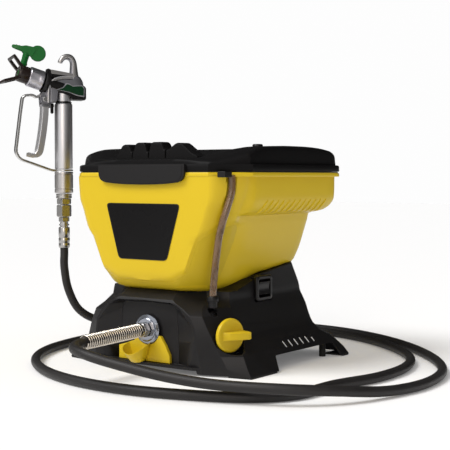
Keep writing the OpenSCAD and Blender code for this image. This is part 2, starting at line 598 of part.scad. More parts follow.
module pump_block() color("lightgray") difference() {
    union() {
        translate([-36, -118, 34]) cube([62, 60, 46]);
        translate([0, -86, 80]) cylinder(h = tank_bottom_z - 6 - 80 - seat_gap, d = outlet_bore - 2, $fn = 48);
        along_y(disc_y + 2, -117, 0, outlet_z, 22, 48);
    }
    along_y(-104, -50, yoke_x, crank_at.z, piston_d + 2 * run_gap, 48);
    translate([0, -86, 60]) cylinder(h = 60, d = 16, $fn = 48);
    along_x(-10, 2, -86, 66, 8, 32);
    along_y(-160, -96, 0, outlet_z, 10, 32);
    at_knob() translate([0, 0, -140]) cylinder(h = 92, d = 6.1, $fn = 32);
}
module inlet_valve() color("silver") translate([0, -86, 60.3]) difference() {
    union() {
        cylinder(h = 4, d = 15.9, $fn = 48);
        cylinder(h = 22, d = 6, $fn = 32);
    }
    for (a = [0:90:270]) rotate([0, 0, a]) translate([5.4, 0, -1]) cylinder(h = 6, d = 3, $fn = 16);
}
module outlet_valve() color("steelblue") translate([0, -112, outlet_z]) {
    sphere(d = 8, $fn = 32);
    along_y(4, 14, 0, 0, 6, 24);
}
module outlet_disc() color("silver") difference() {
    union() {
        along_y(disc_y, disc_y + disc_t - 2, 0, outlet_z, disc_d, 64);
        along_y(disc_y - 3, disc_y, 0, outlet_z, disc_d - 10, 64);
        along_y(nut_y - 7, disc_y, 0, outlet_z, 12, 48);
    }
    along_y(-200, -100, 0, outlet_z, 6, 32);
    along_y(disc_y + 2, disc_y + 10, 0, outlet_z, 22 + 2 * run_gap, 48);
}
module control_board() color("darkgreen") {
    translate([-84, -12, 36]) cube([2, 70, 44]);
    translate([-82, -4, 42]) cube([16, 22, 20]);
    translate([-82, 26, 46]) cube([12, 24, 14]);
    for (y = [-6, 48]) translate([-84, y, recess_z - seat_gap]) cube([4, 4, 25]);
}
module mains_gland() color("black") difference() {
    union() {
        along_y(108, 131, gland_at.x, gland_at.y, 16 - 2 * run_gap, 32);
        along_y(128.4, 131, gland_at.x, gland_at.y, 22, 32);
    }
    along_y(90, 140, gland_at.x, gland_at.y, 8, 32);
}

// ---------- controls ----------
module return_tube() color([0.75, 0.6, 0.5, 0.6]) difference() {
    tube(smooth_route(return_route, 2), return_d, 12);
    tube(smooth_route(return_route, 2), return_d - 3, 12);
}
module tube_socket() color("#222222") translate([tube_socket_at.x, tube_socket_at.y, 92]) difference() {
    union() {
        cylinder(h = 12, d = return_d + 2.6, $fn = 32);
        translate([0, 0, 8]) cylinder(h = 8, d = return_d + 6, $fn = 32);
    }
    translate([0, 0, -1]) cylinder(h = 30, d = return_d + 0.3, $fn = 32);
}
module prime_knob() color("gold") at_knob() difference() {
    union() {
        cylinder(h = knob_t, d = knob_d, $fn = 64);
        rotate([0, 0, 90]) translate([-knob_d / 2 + 3, -fin_t / 2, 0]) intersection() {
            cube([knob_d - 6, fin_t, knob_t + fin_h]);
            translate([knob_d / 2 - 3, 0, 0]) cylinder(h = 60, d = knob_d - 5, $fn = 64);
        }
    }
    translate([0, 0, -1]) cylinder(h = 8, d = stem_d, $fn = 32);
}
module prime_valve() color("silver") at_knob() {
    translate([0, 0, -14]) cylinder(h = 20.7, d = stem_d - 2 * run_gap, $fn = 32);
    translate([0, 0, -86]) cylinder(h = 72, d = 6, $fn = 32);
}
module switch_frame() color("#111111") translate([switch_at.x - 2.6, switch_at.y, switch_at.z]) difference() {
    union() {
        translate([3, -switch_w / 2, -switch_h / 2]) cube([4, switch_w, switch_h]);
        translate([-8, -switch_w / 2 + 3.3, -switch_h / 2 + 3.3]) cube([12, switch_w - 6.6, switch_h - 6.6]);
    }
    translate([-6, -switch_w / 2 + 6, -switch_h / 2 + 6]) cube([20, switch_w - 12, switch_h - 12]);
}
module switch_rocker() color("black") translate([switch_at.x + 1, switch_at.y, switch_at.z]) difference() {
    union() {
        translate([-4, -switch_w / 2 + 6.5, -9]) cube([7, switch_w - 13, 18]);
        along_y(-switch_w / 2 + 6.2, switch_w / 2 - 6.2, 0, 0, 4, 24);
    }
    translate([26, -20, 0]) rotate([-90, 0, 0]) cylinder(h = 40, d = 48, $fn = 64);
}

// ---------- hose ----------
module hose_nut() color("silver") difference() {
    union() {
        along_y(nut_y - nut_len + 3, nut_y, 0, outlet_z, nut_af / cos(30), 6);
        along_y(spring_y0, nut_y - nut_len + 3, 0, outlet_z, nut_af - 1, 48);
    }
    along_y(spring_y0 - 1, nut_y - 8.5, 0, outlet_z, hose_d + 0.2, 32);
    along_y(nut_y - 9, nut_y + 1, 0, outlet_z, 12.1, 32);
}
module hose_spring() color("lightgray") {
    steps = 10;
    n = spring_turns * steps;
    r = (spring_d - spring_wire) / 2;
    tube([for (i = [0:n]) let (a = 360 * i / steps, t = i / n, y = spring_y0 - spring_wire / 2 - t * (spring_len - spring_wire))
        [r * cos(a), y, outlet_z - 3.2 * t + r * sin(a)]], spring_wire, 5);
}
module hose() color("#1a1a1a") tube(smooth_route(hose_route, 2), hose_d, 8);
module hose_ferrule() color("silver") translate([gun_at.x, gun_at.y, ferrule_z]) difference() {
    union() {
        cylinder(h = 34, d = 18.4, $fn = 48);
        translate([0, 0, 34]) cylinder(h = 16, d = 13, $fn = 48);
        translate([0, 0, 36.5]) cylinder(h = 3, d = 17, $fn = 48);
        translate([0, 0, 43]) cylinder(h = 8, d = 16 / cos(30), $fn = 6);
    }
    translate([0, 0, -1]) cylinder(h = 31, d = hose_d + 0.1, $fn = 32);
    translate([0, 0, 20]) cylinder(h = 40, d = 6, $fn = 32);
}
module swivel_nut() color("silver") translate([gun_at.x, gun_at.y, ferrule_z + 51 + seat_gap]) difference() {
    cylinder(h = 20, d = 22 / cos(30), $fn = 6);
    translate([0, 0, -1]) cylinder(h = 30, d = 12.1, $fn = 32);
}

// ---------- gun ----------
inlet_z0 = ferrule_z + 72;
module gun_inlet() color("silver") at_gun() difference() {
    union() {
        translate([0, 0, inlet_z0]) cylinder(h = 10, d = 21.4 / cos(30), $fn = 6);
        translate([0, 0, inlet_z0 + 10]) cylinder(h = 7.7, d = 26, $fn = 48);
        translate([0, 0, inlet_z0 - 18]) cylinder(h = 30, d = 12, $fn = 32);
    }
    translate([0, 0, inlet_z0 - 20]) cylinder(h = 60, d = 6, $fn = 32);
}
module handle_collar() color("lightgray") at_gun() translate([0, 0, inlet_z0 + 18]) difference() {
    cylinder(h = handle_z0 - inlet_z0 - 18 - guard_t - 2 * seat_gap, d = handle_d + 1, $fn = 64);
    translate([0, 0, -1]) cylinder(h = 60, d = 14, $fn = 32);
    translate([0, 0, 6]) cylinder(h = 60, d = handle_bore, $fn = 48);
}
module gun_handle() color("lightgray") at_gun() translate([0, 0, handle_z0]) difference() {
    cylinder(h = handle_z1 - handle_z0, d = handle_d, $fn = 64);
    translate([0, 0, -1]) cylinder(h = 200, d = handle_bore, $fn = 48);
}
module gun_filter() color("yellow") at_gun() translate([0, 0, handle_z0 + 2]) {
    cylinder(h = 92, d = 11, $fn = 32);
    cylinder(h = 4, d = handle_bore - 2 * run_gap, $fn = 48);
}
hook_path = smooth_route([[-17, 424], [-24, 440], [-24, 455], [-16, 469], [-3, 474], [8, 468], [12, 458]], 3);
module gun_body() color("silver") difference() {
    union() {
        at_gun() {
            // Neck over the handle
            translate([0, 0, handle_z1 + seat_gap]) cylinder(h = 22, d = 25, $fn = 48);
            translate([0, 0, handle_z1 - 18]) cylinder(h = 20, d = handle_bore - 2 * run_gap, $fn = 48);
            // Bridge, seen from the side
            translate([0, head_w / 2, 0]) rotate([90, 0, 0]) linear_extrude(head_w)
                polygon([[-32, 398], [-12, 403], [14, 407], [22, 410], [34, 410], [30, 434], [26, 442], [-22, 438], [-31, 420]]);
            // Lug for the trigger
            translate([0, 6.6, 0]) rotate([90, 0, 0]) linear_extrude(13.2)
                polygon([[15, 391], [38, 391], [41, 396], [41, 404], [34, 414], [14, 414]]);
            // Ear that carries the trigger lock
            translate([22.5, -4, 383]) cube([3, 8, 9]);
            // Hanging hook
            translate([0, 5, 0]) rotate([90, 0, 0]) linear_extrude(10) polygon(strip(hook_path, 9));
        }
        at_nose() {
            along_nose(-18, 36, 26, 48);
            along_nose(30, 36, 40, 48);
            along_nose(36, 42, 20, 48);
        }
    }
    at_nose() along_nose(-40, 60, 8 + 2 * run_gap, 32);
    at_nose() along_nose(24, 60, 14 + 2 * run_gap, 32);
    at_nose() along_nose(-45, -26.5, 13, 48);
    // Paint passage from the handle up to the needle
    at_gun() translate([0, 0, handle_z1 - 20]) cylinder(h = 30, d = 12, $fn = 32);
    at_gun() translate([0, 0, handle_z1]) cylinder(h = nose_z - handle_z1, d = 5, $fn = 24);
    at_gun() translate([pivot.x, 30, pivot.y]) rotate([90, 0, 0]) cylinder(h = 60, d = pin_d, $fn = 32);
    at_gun() translate([22, 0, lock_z]) rotate([0, 90, 0]) cylinder(h = 5, d = 3 + 2 * run_gap, $fn = 24);
}
module gun_badges() color("#222222") at_gun() for (s = [-1, 1])
    translate([0, s * (head_w / 2 + 0.6) + 0.5, 0]) rotate([90, 0, 0]) linear_extrude(1)
        polygon([[17, 410], [0, 421], [-8, 417], [-26, 420], [-29, 402], [-12, 405], [13, 409]]);
// Trigger pivot and the trigger lock's pin height, in the gun's side view
pivot = [33, 397];
lock_z = 387;
trigger_path = smooth_route([[33, 389], [33.5, 374], [37, 350], [41, 328], [45, 311], [53, 303], [66, 304.5]], 3);
trigger_t = 11;
// Inside of the channel, open toward the handle and closed by a web below the pivot
channel_path = concat([[30.8, 384]], [for (i = [2:len(trigger_path) - 1]) trigger_path[i] + [-2.2, 0.6]]);
trigger_w = 18;
module trigger() color("silver") at_gun() difference() {
    union() {
        translate([0, trigger_w / 2, 0]) rotate([90, 0, 0]) linear_extrude(trigger_w) polygon(strip(trigger_path, trigger_t));
        translate([0, trigger_w / 2, 0]) rotate([90, 0, 0]) linear_extrude(trigger_w)
            polygon([[27.7, 386], [38.4, 386], [39.4, pivot.y], [26.6, pivot.y]]);
        translate([pivot.x, trigger_w / 2, pivot.y]) rotate([90, 0, 0]) cylinder(h = trigger_w, d = 13, $fn = 32);
    }
    translate([0, trigger_w / 2 - trigger_wall, 0]) rotate([90, 0, 0]) linear_extrude(trigger_w - 2 * trigger_wall)
        polygon(strip(channel_path, trigger_t));
    translate([20, -7.4, 389.8]) cube([30, 14.8, 20]);
    translate([pivot.x, 20, pivot.y]) rotate([90, 0, 0]) cylinder(h = 40, d = pin_d + 2 * run_gap, $fn = 32);
}
module trigger_pin() color("gray") at_gun() {
    translate([pivot.x, 11, pivot.y]) rotate([90, 0, 0]) cylinder(h = 22, d = pin_d, $fn = 32);
    for (y = [-9.3, 11]) translate([pivot.x, y, pivot.y]) rotate([90, 0, 0]) cylinder(h = 1.7, d = 9, $fn = 32);
}
guard_path = soften([[41.3, 401], [62, 405], [79, 399], [92, 308], [82, 297.5], [22, 280.2], [8, 280.2]], 7);
module trigger_guard() color("#333333") at_gun() difference() {
    union() {
        translate([0, guard_w / 2, 0]) rotate([90, 0, 0]) linear_extrude(guard_w) polygon(strip(guard_path, guard_t));
        translate([0, 0, handle_z0 - guard_t - seat_gap]) cylinder(h = guard_t, d = handle_d + 1, $fn = 48);
    }
    translate([0, 0, 270]) cylinder(h = 20, d = handle_bore, $fn = 48);
}
module trigger_lock() color("#333333") at_gun() {
    translate([17.5, -2.5, lock_z - 13]) cube([4.5, 5, 13]);
    translate([17.5, 0, lock_z]) rotate([0, 90, 0]) cylinder(h = 4.5, d = 7, $fn = 32);
    translate([17, 0, lock_z]) rotate([0, 90, 0]) cylinder(h = 8.2, d = 3, $fn = 24);
}
module needle() color("silver") at_nose() {
    along_nose(-27, 44, 8, 32);
    along_nose(-31, -27, 12, 32);
}
module seat_housing() color("silver") at_nose() difference() {
    union() {
        along_nose(42.3, 58, 16, 48);
        along_nose(24.3, 42.5, 13.9, 48);
    }
    along_nose(20, 50, 8 + 4 * run_gap, 32);
    along_nose(40, 60, 4, 24);
}
module retaining_nut() color("silver") at_nose() difference() {
    union() {
        along_nose(42.3, 62, retaining_d, 64);
        along_nose(37.5, 42.4, retaining_d - 5, 64);
    }
    along_nose(30, 70, 20.2, 48);
    for (a = [0:60:300]) rotate([a, 0, 0]) translate([50, 0, retaining_d / 2 + 8.6]) cube([14, 20, 20], center = true);
}
module wing(tilt, len) translate([78, 0, 0]) rotate([0, tilt, 0]) difference() {
    translate([0, -12, -2]) cube([len, 24, 4]);
    translate([len - 24, -7.5, -5]) cube([18, 15, 10]);
}
module tip_guard() color("#111111") at_nose() difference() {
    union() {
        along_nose(62.4, 84, 28, 64);
        along_nose(44, 62.5, 20, 48);
        wing(-40, 38);
        wing(34, 34);
    }
    along_nose(43, 68.8, 16.4, 48);
    along_nose(60, 90, 7, 32);
    translate([75, 0, -20]) cylinder(h = 50, d = tip_d + 0.1, $fn = 32);
    translate([84, -30, -4]) cube([10, 60, 8]);
}
module spray_tip() color("green") at_nose() {
    translate([75, 0, -10]) cylinder(h = 46, d = tip_d, $fn = 32);
    translate([75, 2.5, 0]) rotate([90, 0, 0]) linear_extrude(5)
        polygon([[-14, 30], [4, 33], [26, 35.5], [36, 39], [33, 43], [-4, 45], [-14, 48]]);
    translate([61, 2.5, 39]) rotate([90, 0, 0]) cylinder(h = 5, d = 27, $fn = 48);
}
module tip_seal() color("black") at_nose() difference() {
    along_nose(58.3, 68.5, 15.8, 48);
    along_nose(60, 80, 5, 32);
    translate([75, 0, -20]) cylinder(h = 50, d = tip_d + 0.6, $fn = 32);
}
module housing_screws() color("gray") at_screws()
    translate([0, 0, recess_z - seat_gap - floor_t - 2.5]) cylinder(h = 2.5, d = 8, $fn = 32);

base_housing();
base_floor();
outlet_panel();
pump_cover();
rubber_feet();
pin_feet();
motor_can();
motor_rotor();
gearbox_case();
gearbox_cover();
drive_gear();
piston();
pump_block();
inlet_valve();
outlet_valve();
outlet_disc();
control_board();
mains_gland();
tank();
tank_seal();
inlet_strainer();
label_plate();
lid();
lid_seal();
return_tube();
tube_socket();
prime_knob();
prime_valve();
switch_frame();
switch_rocker();
hose_nut();
hose_spring();
hose();
hose_ferrule();
swivel_nut();
gun_body();
gun_handle();
handle_collar();
gun_filter();
gun_inlet();
gun_badges();
trigger();
trigger_pin();
trigger_guard();
trigger_lock();
needle();
seat_housing();
retaining_nut();
tip_guard();
spray_tip();
tip_seal();
housing_screws();
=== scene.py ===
"""Airless paint sprayer: the visible shapes and finishes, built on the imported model."""

import math

import bmesh
import bpy
from bpy.props import FloatProperty, FloatVectorProperty, IntProperty, PointerProperty
from mathutils import Matrix, Vector


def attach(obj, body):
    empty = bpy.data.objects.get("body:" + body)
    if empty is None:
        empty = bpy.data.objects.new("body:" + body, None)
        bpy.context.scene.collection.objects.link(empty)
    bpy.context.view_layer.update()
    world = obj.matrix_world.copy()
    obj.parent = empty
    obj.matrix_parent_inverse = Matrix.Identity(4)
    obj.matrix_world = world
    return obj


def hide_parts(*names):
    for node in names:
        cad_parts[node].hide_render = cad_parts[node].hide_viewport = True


bl_info = {
    "name": "Airless paint sprayer",
    "version": (1, 0, 0),
    "blender": (4, 5, 0),
    "location": "3D View > Sidebar > Sprayer",
    "description": "Hopper, base, hose and spray gun of a small airless paint sprayer",
    "category": "Add Mesh",
}

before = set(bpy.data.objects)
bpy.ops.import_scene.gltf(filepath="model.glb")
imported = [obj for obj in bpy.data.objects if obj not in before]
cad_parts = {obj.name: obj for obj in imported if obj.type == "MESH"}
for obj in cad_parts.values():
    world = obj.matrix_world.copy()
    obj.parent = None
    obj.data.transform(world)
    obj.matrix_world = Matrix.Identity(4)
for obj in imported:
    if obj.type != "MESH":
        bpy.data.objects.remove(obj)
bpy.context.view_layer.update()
MM = 0.001

# Places that several pieces share, in millimetres
GUN_AT = (-307, 23)
GUN_HEADING = 240.7
NOSE_Z = 416
NOSE_PITCH = 17
OUTLET_Z = 57
NUT_Y = -136.3
KNOB_AT = (119, -103, 55)
KNOB_TURN = -13
FLANGE_TOP = 287
SWITCH_AT = (107, -2, 111)
TUBE_FOOT = (98, -110)
TANK_FACE_Y = -141
TIP_X = 75
TRIGGER_PIVOT = (33, 397)
# Points closer than this are joined
WELD = 0.02


# ---------- small geometry ----------
def move(x, y, z=0):
    return Matrix.Translation((x, y, z))


def turn(degrees, axis):
    return Matrix.Rotation(math.radians(degrees), 4, axis)


# Local z points along x or against y; the gun, its nose and the knob have their own places
ALONG_X = turn(90, "Y")
ALONG_MINUS_Y = turn(90, "X")
AT_GUN = move(*GUN_AT) @ turn(GUN_HEADING, "Z")
AT_NOSE = AT_GUN @ move(0, 0, NOSE_Z) @ turn(-NOSE_PITCH, "Y")
AT_KNOB = move(*KNOB_AT) @ turn(KNOB_TURN, "Z") @ ALONG_X


def mid(a, b, t=0.5):
    return a + (b - a) * t


def smooth_step(low, high, value):
    t = min(1.0, max(0.0, (value - low) / (high - low)))
    return t * t * (3 - 2 * t)


def along_table(table, z):
    """The values at a height of a table of (height, value, value, ...) rows, eased between them."""
    if z <= table[0][0]:
        return list(table[0][1:])
    for i in range(len(table) - 1):
        low, high = table[i], table[i + 1]
        if z <= high[0]:
            before, after = table[max(i - 1, 0)], table[min(i + 2, len(table) - 1)]
            span, t = high[0] - low[0], (z - low[0]) / (high[0] - low[0])
            found = []
            for k in range(1, len(low)):
                step = (high[k] - low[k]) / span
                back = (low[k] - before[k]) / (low[0] - before[0]) if i > 0 else step
                ahead = (after[k] - high[k]) / (after[0] - high[0]) if i < len(table) - 2 else step
                s0 = 0 if back * step <= 0 else 2 * back * step / (back + step)
                s1 = 0 if ahead * step <= 0 else 2 * ahead * step / (ahead + step)
                found.append((2 * t ** 3 - 3 * t * t + 1) * low[k]
                             + (t ** 3 - 2 * t * t + t) * span * s0
                             + (3 * t * t - 2 * t ** 3) * high[k]
                             + (t ** 3 - t * t) * span * s1)
            return found
    return list(table[-1][1:])


def flowing(points, steps):
    """A smooth line through points, with steps between each two of them."""
    p = [Vector(q) for q in points]
    line = []
    for i in range(len(p) - 1):
        a, b, c, d = p[max(i - 1, 0)], p[i], p[i + 1], p[min(i + 2, len(p) - 1)]
        for k in range(steps):
            t = k / steps
            line.append(0.5 * (2 * b + (c - a) * t + (2 * a - 5 * b + 4 * c - d) * t * t
                               + (3 * b - a - 3 * c + d) * t ** 3))
    return line + [p[-1]]


def curve(a, m, b, steps):
    """Points on the arc from a to b that leans toward m."""
    return [(1 - t) ** 2 * a + 2 * t * (1 - t) * m + t * t * b
            for t in [i / steps for i in range(steps + 1)]]


def eased_corner(before, here, after, reach, share, steps):
    """A corner rounded over a reach, but over no more than a share of either side."""
    r = min(reach, (before - here).length * share, (after - here).length * share)
    return curve(here + (before - here).normalized() * r, here,
                 here + (after - here).normalized() * r, steps)


def softened(path, reach, steps):
    """A flat path whose inner corners are rounded over a reach."""
    p = [Vector(q) for q in path]
    corners = [q for i in range(1, len(p) - 1)
               for q in eased_corner(*p[i - 1:i + 2], reach, 0.48, steps)]
    return [p[0], *corners, p[-1]]


def round_outline(points, reach, steps=4):
    """A closed outline with every corner rounded over a reach."""
    p = [Vector(q) for q in points]
    return [q for i in range(len(p))
            for q in eased_corner(p[i - 1], p[i], p[(i + 1) % len(p)], reach, 0.45, steps)]


def half_outline(corner, wide, front, rear, deep, cut, bows, counts):
    """Right half of a plan view: front, bowed front corner, side, rounded rear corner and rear."""
    a, b = Vector((corner, front)), Vector((wide, front + deep))
    d, e = Vector((wide, rear - cut)), Vector((wide - cut, rear))
    n = counts
    half = [Vector((corner * i / n[0], front)) for i in range(n[0])]
    half += curve(a, mid((a + b) / 2, Vector((wide, front)), bows[0]), b, n[1])
    half += [mid(b, d, i / n[2]) for i in range(1, n[2] + 1)]
    half += curve(d, mid((d + e) / 2, Vector((wide, rear)), bows[1]), e, n[3])[1:]
    return half + [Vector((e.x * (1 - i / n[4]), rear)) for i in range(1, n[4] + 1)]


def whole(half, z=0):
    """A ring at a height from the half of it on the right side."""
    return [Vector((p.x, p.y, z)) for p in half] + [Vector((-p.x, p.y, z)) for p in half[-2:0:-1]]


def across(outline, widths):
    """Rings across the gun from an outline in its side view, (forward, up)."""
    return [[Vector((p[0], w, p[1])) for p in outline] for w in widths]


def linked(name, data):
    made = bpy.data.objects.new(name, data)
    bpy.context.scene.collection.objects.link(made)
    return made


def cleaned(mesh, weld, merge_flat=False):
    """Joins points closer than weld millimetres and turns all faces outward."""
    work = bmesh.new()
    work.from_mesh(mesh)
    if weld:
        bmesh.ops.remove_doubles(work, verts=work.verts, dist=weld * MM)
    if merge_flat:
        bmesh.ops.dissolve_limit(work, angle_limit=math.radians(0.5), verts=work.verts,
                                 edges=work.edges)
    bmesh.ops.recalc_face_normals(work, faces=work.faces)
    work.to_mesh(mesh)
    work.free()
    return mesh


def frames_along(line):
    """Directions and side vectors carried along a line without twisting."""
    found, side = [], None
    for i, p in enumerate(line):
        d = (line[min(i + 1, len(line) - 1)] - line[max(i - 1, 0)]).normalized()
        if side is None:
            side = d.cross(Vector((0, 0, 1)) if abs(d.z) < 0.9 else Vector((1, 0, 0))).normalized()
        side = (side - d * side.dot(d)).normalized()
        found.append((p, side, d.cross(side)))
    return found


class Shape:
    """Points and faces of one piece in millimetres; each face has its finish's number."""

    def __init__(self):
        self.points, self.faces, self.finishes, self.runs = [], [], [], []

    def add(self, points, faces, finish=0, at=None, run=None):
        start = len(self.points)
        for p in points:
            v = Vector((p[0], p[1], p[2]))
            self.points.append(at @ v if at is not None else v)
        self.runs += run if run else [(0.0, 0.0, 0.0)] * len(points)
        self.faces += [tuple(start + i for i in f) for f in faces]
        self.finishes += [finish] * len(faces)
        return self

    def rings(self, rings, finish=0, at=None, ends=(True, True), run=None):
        """A skin over rings of the same number of points, closed at its ends where ends says so."""
        n, m = len(rings[0]), len(rings)
        faces = []
        for i in range(m - 1):
            for j in range(n):
                k = (j + 1) % n
                faces.append((i * n + j, i * n + k, (i + 1) * n + k, (i + 1) * n + j))
        if ends[0]:
            faces.append(tuple(reversed(range(n))))
        if ends[1]:
            faces.append(tuple((m - 1) * n + j for j in range(n)))
        return self.add([p for r in rings for p in r], faces, finish, at, run)

    def turned(self, profile, finish=0, at=None, sides=48, ends=(True, True)):
        """A turned form; profile is a list of (radius, height)."""
        rings = [[(r * math.cos(2 * math.pi * k / sides), r * math.sin(2 * math.pi * k / sides), h)
                  for k in range(sides)] for r, h in profile]
        return self.rings(rings, finish, at, ends)

    def flats(self, across, z0, z1, chamfer=1.0, count=6, finish=0, at=None):
        """A nut with chamfered corners, its flats across from each other by the given size."""
        def ring(z, limit):
            points = []
            for k in range(count * 8):
                a = 2 * math.pi * k / (count * 8)
                fold = (a % (2 * math.pi / count)) - math.pi / count
                r = min(across / 2 / math.cos(fold), limit)
                points.append((r * math.cos(a), r * math.sin(a), z))
            return points
        wide = across / 2 / math.cos(math.pi / count)
        return self.rings([ring(z0, across / 2 - 0.2),
                           ring(z0 + chamfer * 0.5, mid(across / 2, wide)),
                           ring(z0 + chamfer, wide), ring(z1 - chamfer, wide),
                           ring(z1 - chamfer * 0.5, mid(across / 2, wide)),
                           ring(z1, across / 2 - 0.2)], finish, at)

    def plate(self, outline, low, high, finish=0, at=None):
        """A flat outline (x, y) made solid between two heights."""
        n = len(outline)
        points = [(p[0], p[1], low) for p in outline] + [(p[0], p[1], high) for p in outline]
        faces = [tuple(reversed(range(n))), tuple(range(n, 2 * n))]
        faces += [(j, (j + 1) % n, n + (j + 1) % n, n + j) for j in range(n)]
        return self.add(points, faces, finish, at)

    def pipe(self, line, radius, sides=12, finish=0, at=None, ends=(True, True)):
        """A round bar along a line; radius is a number or one number for each point."""
        line = [Vector(p) for p in line]
        rings, run, gone = [], [], 0.0
        for i, (p, side, up) in enumerate(frames_along(line)):
            r = radius[i] if hasattr(radius, "__len__") else radius
            gone += (p - line[i - 1]).length if i else 0.0
            ring = []
            for k in range(sides):
                a = 2 * math.pi * k / sides
                ring.append(p + side * (r * math.cos(a)) + up * (r * math.sin(a)))
                run.append((gone * MM, k / sides, 0.0))
            rings.append(ring)
        return self.rings(rings, finish, at, ends, run=run)

    def bar(self, path, section, finish=0, at=None, ends=(True, True)):
        """A section (out, across) swept along a flat path (forward, up) in the gun's side view."""
        path = [Vector((p[0], p[1])) for p in path]
        rings = []
        for i, p in enumerate(path):
            d = (path[min(i + 1, len(path) - 1)] - path[max(i - 1, 0)]).normalized()
            out = Vector((-d.y, d.x))
            part = section(i / (len(path) - 1)) if callable(section) else section
            rings.append([(p.x + out.x * s, w, p.y + out.y * s) for s, w in part])
        return self.rings(rings, finish, at, ends)

    def prism(self, points):
        """A closed solid between two outlines of one length, given one after the other."""
        n = len(points) // 2
        sides = [(n + j, n + (j + 1) % n, (j + 1) % n, j) for j in range(n)]
        return self.add(points, [tuple(range(n)), tuple(reversed(range(n, 2 * n))), *sides])

    def mesh(self, name, weld=WELD):
        made = bpy.data.meshes.new(name)
        made.from_pydata([p * MM for p in self.points], [], self.faces)
        made.polygons.foreach_set("material_index", self.finishes)
        run = made.attributes.new("run", "FLOAT_VECTOR", "POINT")
        run.data.foreach_set("vector", [x for r in self.runs for x in r])
        return cleaned(made, weld)

    def piece(self, name, body, finishes, slot=None, stands_for=(), edge=0.0, crease=35, weld=WELD,
              steps=2):
        """The shape as an object on a body; edge is how far its sharp edges are eased."""
        return dressed(self.mesh(name, weld), name, body, finishes, stands_for, edge, crease,
                       steps)


def dressed(mesh, name, body, finishes, stands_for=(), edge=0.0, crease=35, steps=2):
    """A mesh as an object on a body: its finishes by name, its creases and its eased edges."""
    made = linked(name, mesh)
    # Clearing the materials sets each face's number back to 0, so the numbers are kept and put back
    numbers = [min(face.material_index, len(finishes) - 1) for face in mesh.polygons]
    mesh.materials.clear()
    for finish in finishes:
        mesh.materials.append(FINISH[finish])
    mesh.polygons.foreach_set("material_index", numbers)
    mesh.shade_smooth()
    mesh.set_sharp_from_angle(angle=math.radians(crease))
    if edge:
        ease = made.modifiers.new("eased edges", "BEVEL")
        ease.width, ease.segments = edge * MM, steps
        ease.limit_method, ease.angle_limit = "ANGLE", math.radians(crease - 5)
        ease.harden_normals, ease.use_clamp_overlap = True, True
    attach(made, body)
    if stands_for:
        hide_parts(*stands_for)
    return made


def carved(shape, cutters, name):
    """The mesh of a closed shape with closed cutter shapes taken out of it."""
    solid = linked(name + "_solid", shape.mesh(name + "_solid"))
    tools = []
    for i, cutter in enumerate(cutters):
        tools.append(linked(f"{name}_cut_{i}", cutter.mesh(f"{name}_cut_{i}")))
        cut = solid.modifiers.new(f"cut_{i}", "BOOLEAN")
        cut.operation, cut.solver, cut.object = "DIFFERENCE", "EXACT", tools[-1]
    graph = bpy.context.evaluated_depsgraph_get()
    mesh = bpy.data.meshes.new_from_object(solid.evaluated_get(graph))
    for o in [solid, *tools]:
        bpy.data.objects.remove(o)
    return cleaned(mesh, WELD, True)


def bore(radius, low, high, at, sides=32):
    """A round cutter between two heights."""
    return Shape().turned([(radius, low), (radius, high)], 0, at, sides)


# ---------- finishes ----------
class Value:
    """One output of a shader node. Arithmetic on it adds Math nodes."""

    def __init__(self, finish, socket):
        self.finish, self.socket = finish, socket

    def _maths(self, operation, first, second):
        return self.finish.node("ShaderNodeMath", {"operation": operation}, {0: first, 1: second})

    def __add__(self, other):
        return self._maths("ADD", self, other)

    def __radd__(self, other):
        return self._maths("ADD", other, self)

    def __sub__(self, other):
        return self._maths("SUBTRACT", self, other)

    def __rsub__(self, other):
        return self._maths("SUBTRACT", other, self)

    def __mul__(self, other):
        return self._maths("MULTIPLY", self, other)

    def __rmul__(self, other):
        return self._maths("MULTIPLY", other, self)

